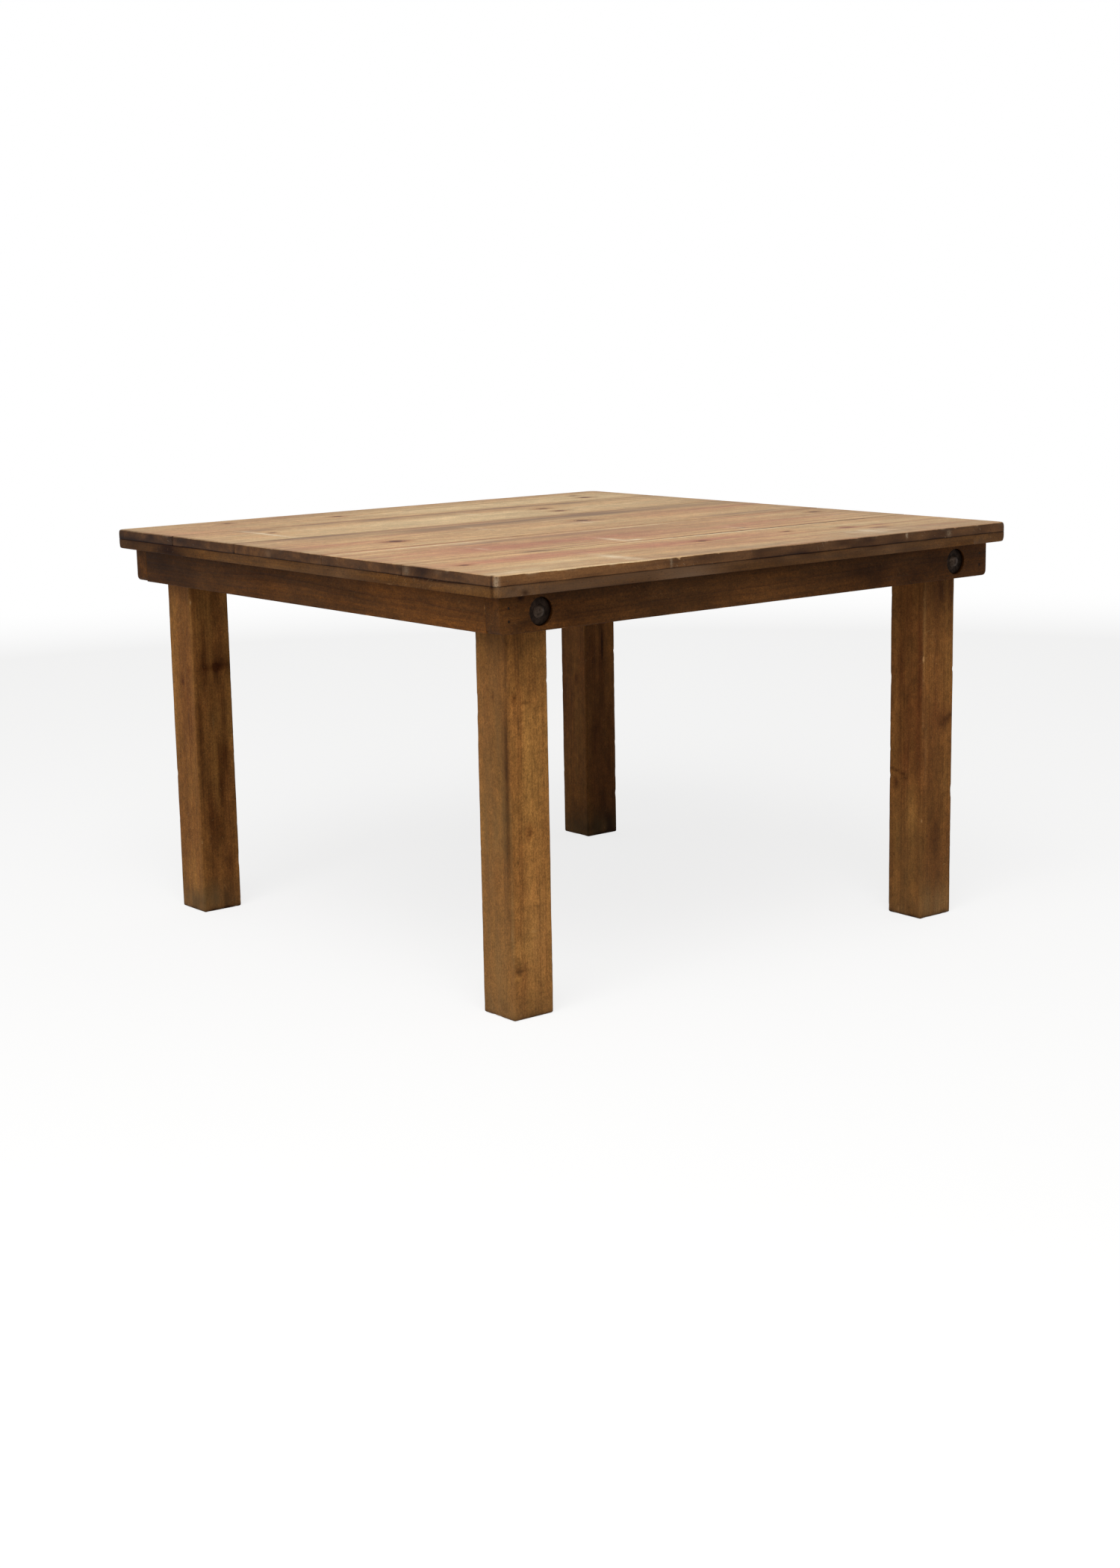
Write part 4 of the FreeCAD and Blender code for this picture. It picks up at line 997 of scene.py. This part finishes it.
slope = np.linspace(0, math.asin(HEAD_RADIUS / DOME_RADIUS), 12)
dome = np.column_stack([DOME_RADIUS * np.sin(slope), HEAD_SUNK + DOME_RADIUS * (1 - np.cos(slope))])
under_head = HEAD_SUNK + HEAD_HEIGHT
bolt_profile = [*map(tuple, dome[:-1]), (HEAD_RADIUS, under_head - 0.5), (HEAD_RADIUS - 0.2, under_head)]
bolt_profile += [(BOLT_RADIUS, under_head), (BOLT_RADIUS, THREAD_FROM)]
bolt_profile += threaded(THREAD_FROM + 0.5, BOLT_END - 1.2, THREAD_ROOT, BOLT_RADIUS, pitch=1.5)
bolt_profile += [(BOLT_RADIUS - 1.2, BOLT_END), (0, BOLT_END)]
# Steel browned by age, a little paler than the blackened steel.
bolt_steel = steel("worn_browned_steel", ("#40342b", "#261b13"), rough=0.48, metallic=0.9, mottle=6.0)
bolts = [turned(bolt_profile, *bolt_seat(*corner), sides=64) for corner in CORNERS]
hang_steel(bolts, "pivot_bolts", "dark_steel", bolt_steel)


# Washers: a large blackened one under each head, a thin plated one that holds each leg off its apron, and a
# small plated one under each nut. All are punched from sheet, with one edge slightly rounded.
WASHER_LIP = 0.45
WASHERS = {
    "head_washers": {"radius": 22.5, "thick": 2.5, "depth": 5.5, "slot": "dark_steel"},
    "pivot_washers": {"radius": 20.0, "thick": 1.5, "depth": 38.0, "slot": "zinc_steel"},
    "nut_washers": {"radius": 15.0, "thick": 2.5, "depth": 124.9, "slot": "zinc_steel"},
}
sheet_steel = {"dark_steel": dark_steel, "zinc_steel": zinc_steel}
for node, washer in WASHERS.items():
    near, far, rim = washer["depth"], washer["depth"] + washer["thick"], washer["radius"]
    section = [(BOLT_HOLE, near + 0.2), (BOLT_HOLE + 0.2, near), (rim - WASHER_LIP, near),
               (rim - 0.13, near + 0.13), (rim, near + WASHER_LIP), (rim, far - 0.1), (rim - 0.1, far),
               (BOLT_HOLE, far)]
    washers = [turned(section, *bolt_seat(*corner), sides=72, loop=True) for corner in CORNERS]
    hang_steel(washers, node, washer["slot"], sheet_steel[washer["slot"]])


# Lock nuts: plated steel hexagon nuts on the bolts' inner ends. A round collar is pressed over the locking
# ring, which keeps the nut in place while the leg turns.
NUT_FLAT = 8.5
NUT_HEIGHT = 10.0
NUT_CHAMFER = 1.9
COLLAR_RADIUS = 7.5
COLLAR_HEIGHT = 3.0
NUT_DEPTH = 127.4


def lock_nut(origin, axis):
    """Hexagon with chamfered ends: at each height the radius is the lesser of the hexagon's, flat / cos of
    the angle from a flat's middle, and a cone's that opens from the flats at each end. A collar follows."""
    sides = 72
    t = np.linspace(0, 2 * np.pi, sides, endpoint=False)
    hexagon = NUT_FLAT / np.cos((t + np.pi / 6) % (np.pi / 3) - np.pi / 6)
    body = NUT_HEIGHT - COLLAR_HEIGHT
    heights = np.array([0, 0.25, 0.5, 0.8, body - 0.8, body - 0.5, body - 0.25, body])
    cone = NUT_FLAT + NUT_CHAMFER * np.minimum(heights, body - heights)
    rows = [np.minimum(hexagon, limit) for limit in cone]
    collar = [(COLLAR_RADIUS + 0.3, body), (COLLAR_RADIUS, body + 0.3), (COLLAR_RADIUS, NUT_HEIGHT - 0.9),
              (COLLAR_RADIUS - 0.9, NUT_HEIGHT), (BOLT_RADIUS + 0.05, NUT_HEIGHT), (BOLT_RADIUS + 0.05, 0)]
    rows += [np.full(sides, radius) for radius, height in collar]
    heights = np.concatenate([heights, [height for radius, height in collar]])
    points, faces = turned(np.column_stack([np.ones(len(rows)), heights]), origin, axis, sides, loop=True)
    centre = origin + np.repeat(heights, sides)[:, None] * np.asarray(axis, float)
    return centre + (points - centre) * np.concatenate(rows)[:, None], faces


nuts = []
for corner in CORNERS:
    seat, inwards = bolt_seat(*corner)
    nuts.append(lock_nut(seat + NUT_DEPTH * np.array(inwards), inwards))
hang_steel(nuts, "lock_nuts", "zinc_steel", zinc_steel, crease=35)


# Floor: a plain pale studio floor, lit as the table is, so that it keeps the table's shadow. Away from the
# table it turns into the white of the backdrop. From below it is clear, so that the underside shows.
FLOOR_HALF = 40000.0
FLOOR_DROP = 0.2
FADE_FROM = 0.9
FADE_TO = 5.5
NEAR_WHITE = 0.78


def seen_rays(add):
    """1 for rays that show a thing to the eye: straight, in a reflection or through glass."""
    seen = 0.0
    for ray in ("Is Camera Ray", "Is Glossy Ray", "Is Transmission Ray"):
        seen = add("Math", (seen, add("LightPath", give=ray)), operation="MAXIMUM")
    return seen


# Matt white paint, with the white of the backdrop mixed in for what the eye sees.
floor_paint = bpy.data.materials.new("matt_white_floor")
add = bare_tree(floor_paint)
place = add("TexCoord", give="Object")
reach = add("VectorMath", (place,), give="Value", operation="LENGTH")
far_off = add("MapRange", (reach, FADE_FROM, FADE_TO), interpolation_type="SMOOTHSTEP")
white_share = add("Math", (far_off, NEAR_WHITE), operation="MAXIMUM")
white_share = add("Math", (white_share, seen_rays(add)), operation="MULTIPLY")
paint = add("BsdfDiffuse", {"Color": linear("#f5f4f2")})
white = add("Emission", {"Color": (1, 1, 1, 1), "Strength": 1.0})
blend = add("MixShader", (white_share, paint, white))
below = add("NewGeometry", give="Backfacing")
one_sided = add("MixShader", (below, blend, add("BsdfTransparent")))
add("OutputMaterial", {"Surface": one_sided})
corners = np.array([[-1, -1, 0], [1, -1, 0], [1, 1, 0], [-1, 1, 0]]) * FLOOR_HALF - (0, 0, FLOOR_DROP)
floor_mesh = mesh_of(corners, [[0, 1, 2, 3]])
floor_mesh.materials.append(floor_paint)
floor = bpy.data.objects.new("floor", floor_mesh)
bpy.context.scene.collection.objects.link(floor)


# Studio light: an even white room, and one large soft box high on the left. To the eye the room is plain
# white, while it lights the table at a lower level. Places are in metres.
SOFT_BOX_PLACE = (-2.7, -2.35, 4.1)
SOFT_BOX_AIM = (0.0, 0.0, 0.6)
SOFT_BOX_SIDE = 4.5
SOFT_BOX_POWER = 255.0
ROOM_LEVEL = 0.35
world = bpy.data.worlds.new("white_room")
bpy.context.scene.world = world
add = bare_tree(world)
room = add("Background", {"Color": (1, 1, 1, 1), "Strength": ROOM_LEVEL})
backdrop = add("Background", {"Color": (1, 1, 1, 1), "Strength": 1.0})
shown = add("MixShader", (seen_rays(add), room, backdrop))
add("OutputWorld", {"Surface": shown})
soft_box = bpy.data.objects.new("soft_box", bpy.data.lights.new("soft_box", "AREA"))
soft_box.data.shape = "SQUARE"
soft_box.data.size = SOFT_BOX_SIDE
soft_box.data.energy = SOFT_BOX_POWER
aim = np.array(SOFT_BOX_AIM) - np.array(SOFT_BOX_PLACE)
soft_box.rotation_euler = (math.atan2(math.hypot(aim[0], aim[1]), -aim[2]), 0, math.atan2(-aim[0], aim[1]))
soft_box.location = SOFT_BOX_PLACE
bpy.context.scene.collection.objects.link(soft_box)
bpy.context.scene.view_settings.view_transform = "Standard"


# Camera: where the photograph was taken from, 1.2 m above the floor and about 4.6 m from the table's
# middle. Places are in metres, angles in radians and the lens in mm.
CAMERA_PLACE = (-2.8941, -3.58948, 1.18248)
YAW, PITCH, ROLL = 0.89128, 0.1989, -0.01831
LENS, SENSOR = 54.73, 36.0
ahead = np.array([math.cos(YAW) * math.cos(PITCH), math.sin(YAW) * math.cos(PITCH), -math.sin(PITCH)])
right = np.array([math.sin(YAW), -math.cos(YAW), 0.0])
up = np.cross(right, ahead)
camera_x = math.cos(ROLL) * right + math.sin(ROLL) * up
camera_y = math.cos(ROLL) * up - math.sin(ROLL) * right
camera = bpy.data.objects.new("camera", bpy.data.cameras.new("camera"))
camera.data.lens = LENS
camera.data.sensor_width = SENSOR
turn = np.eye(4)
turn[:3, :4] = np.column_stack([camera_x, camera_y, -ahead, CAMERA_PLACE])
camera.matrix_world = Matrix(turn.tolist())
bpy.context.scene.collection.objects.link(camera)
bpy.context.scene.camera = camera
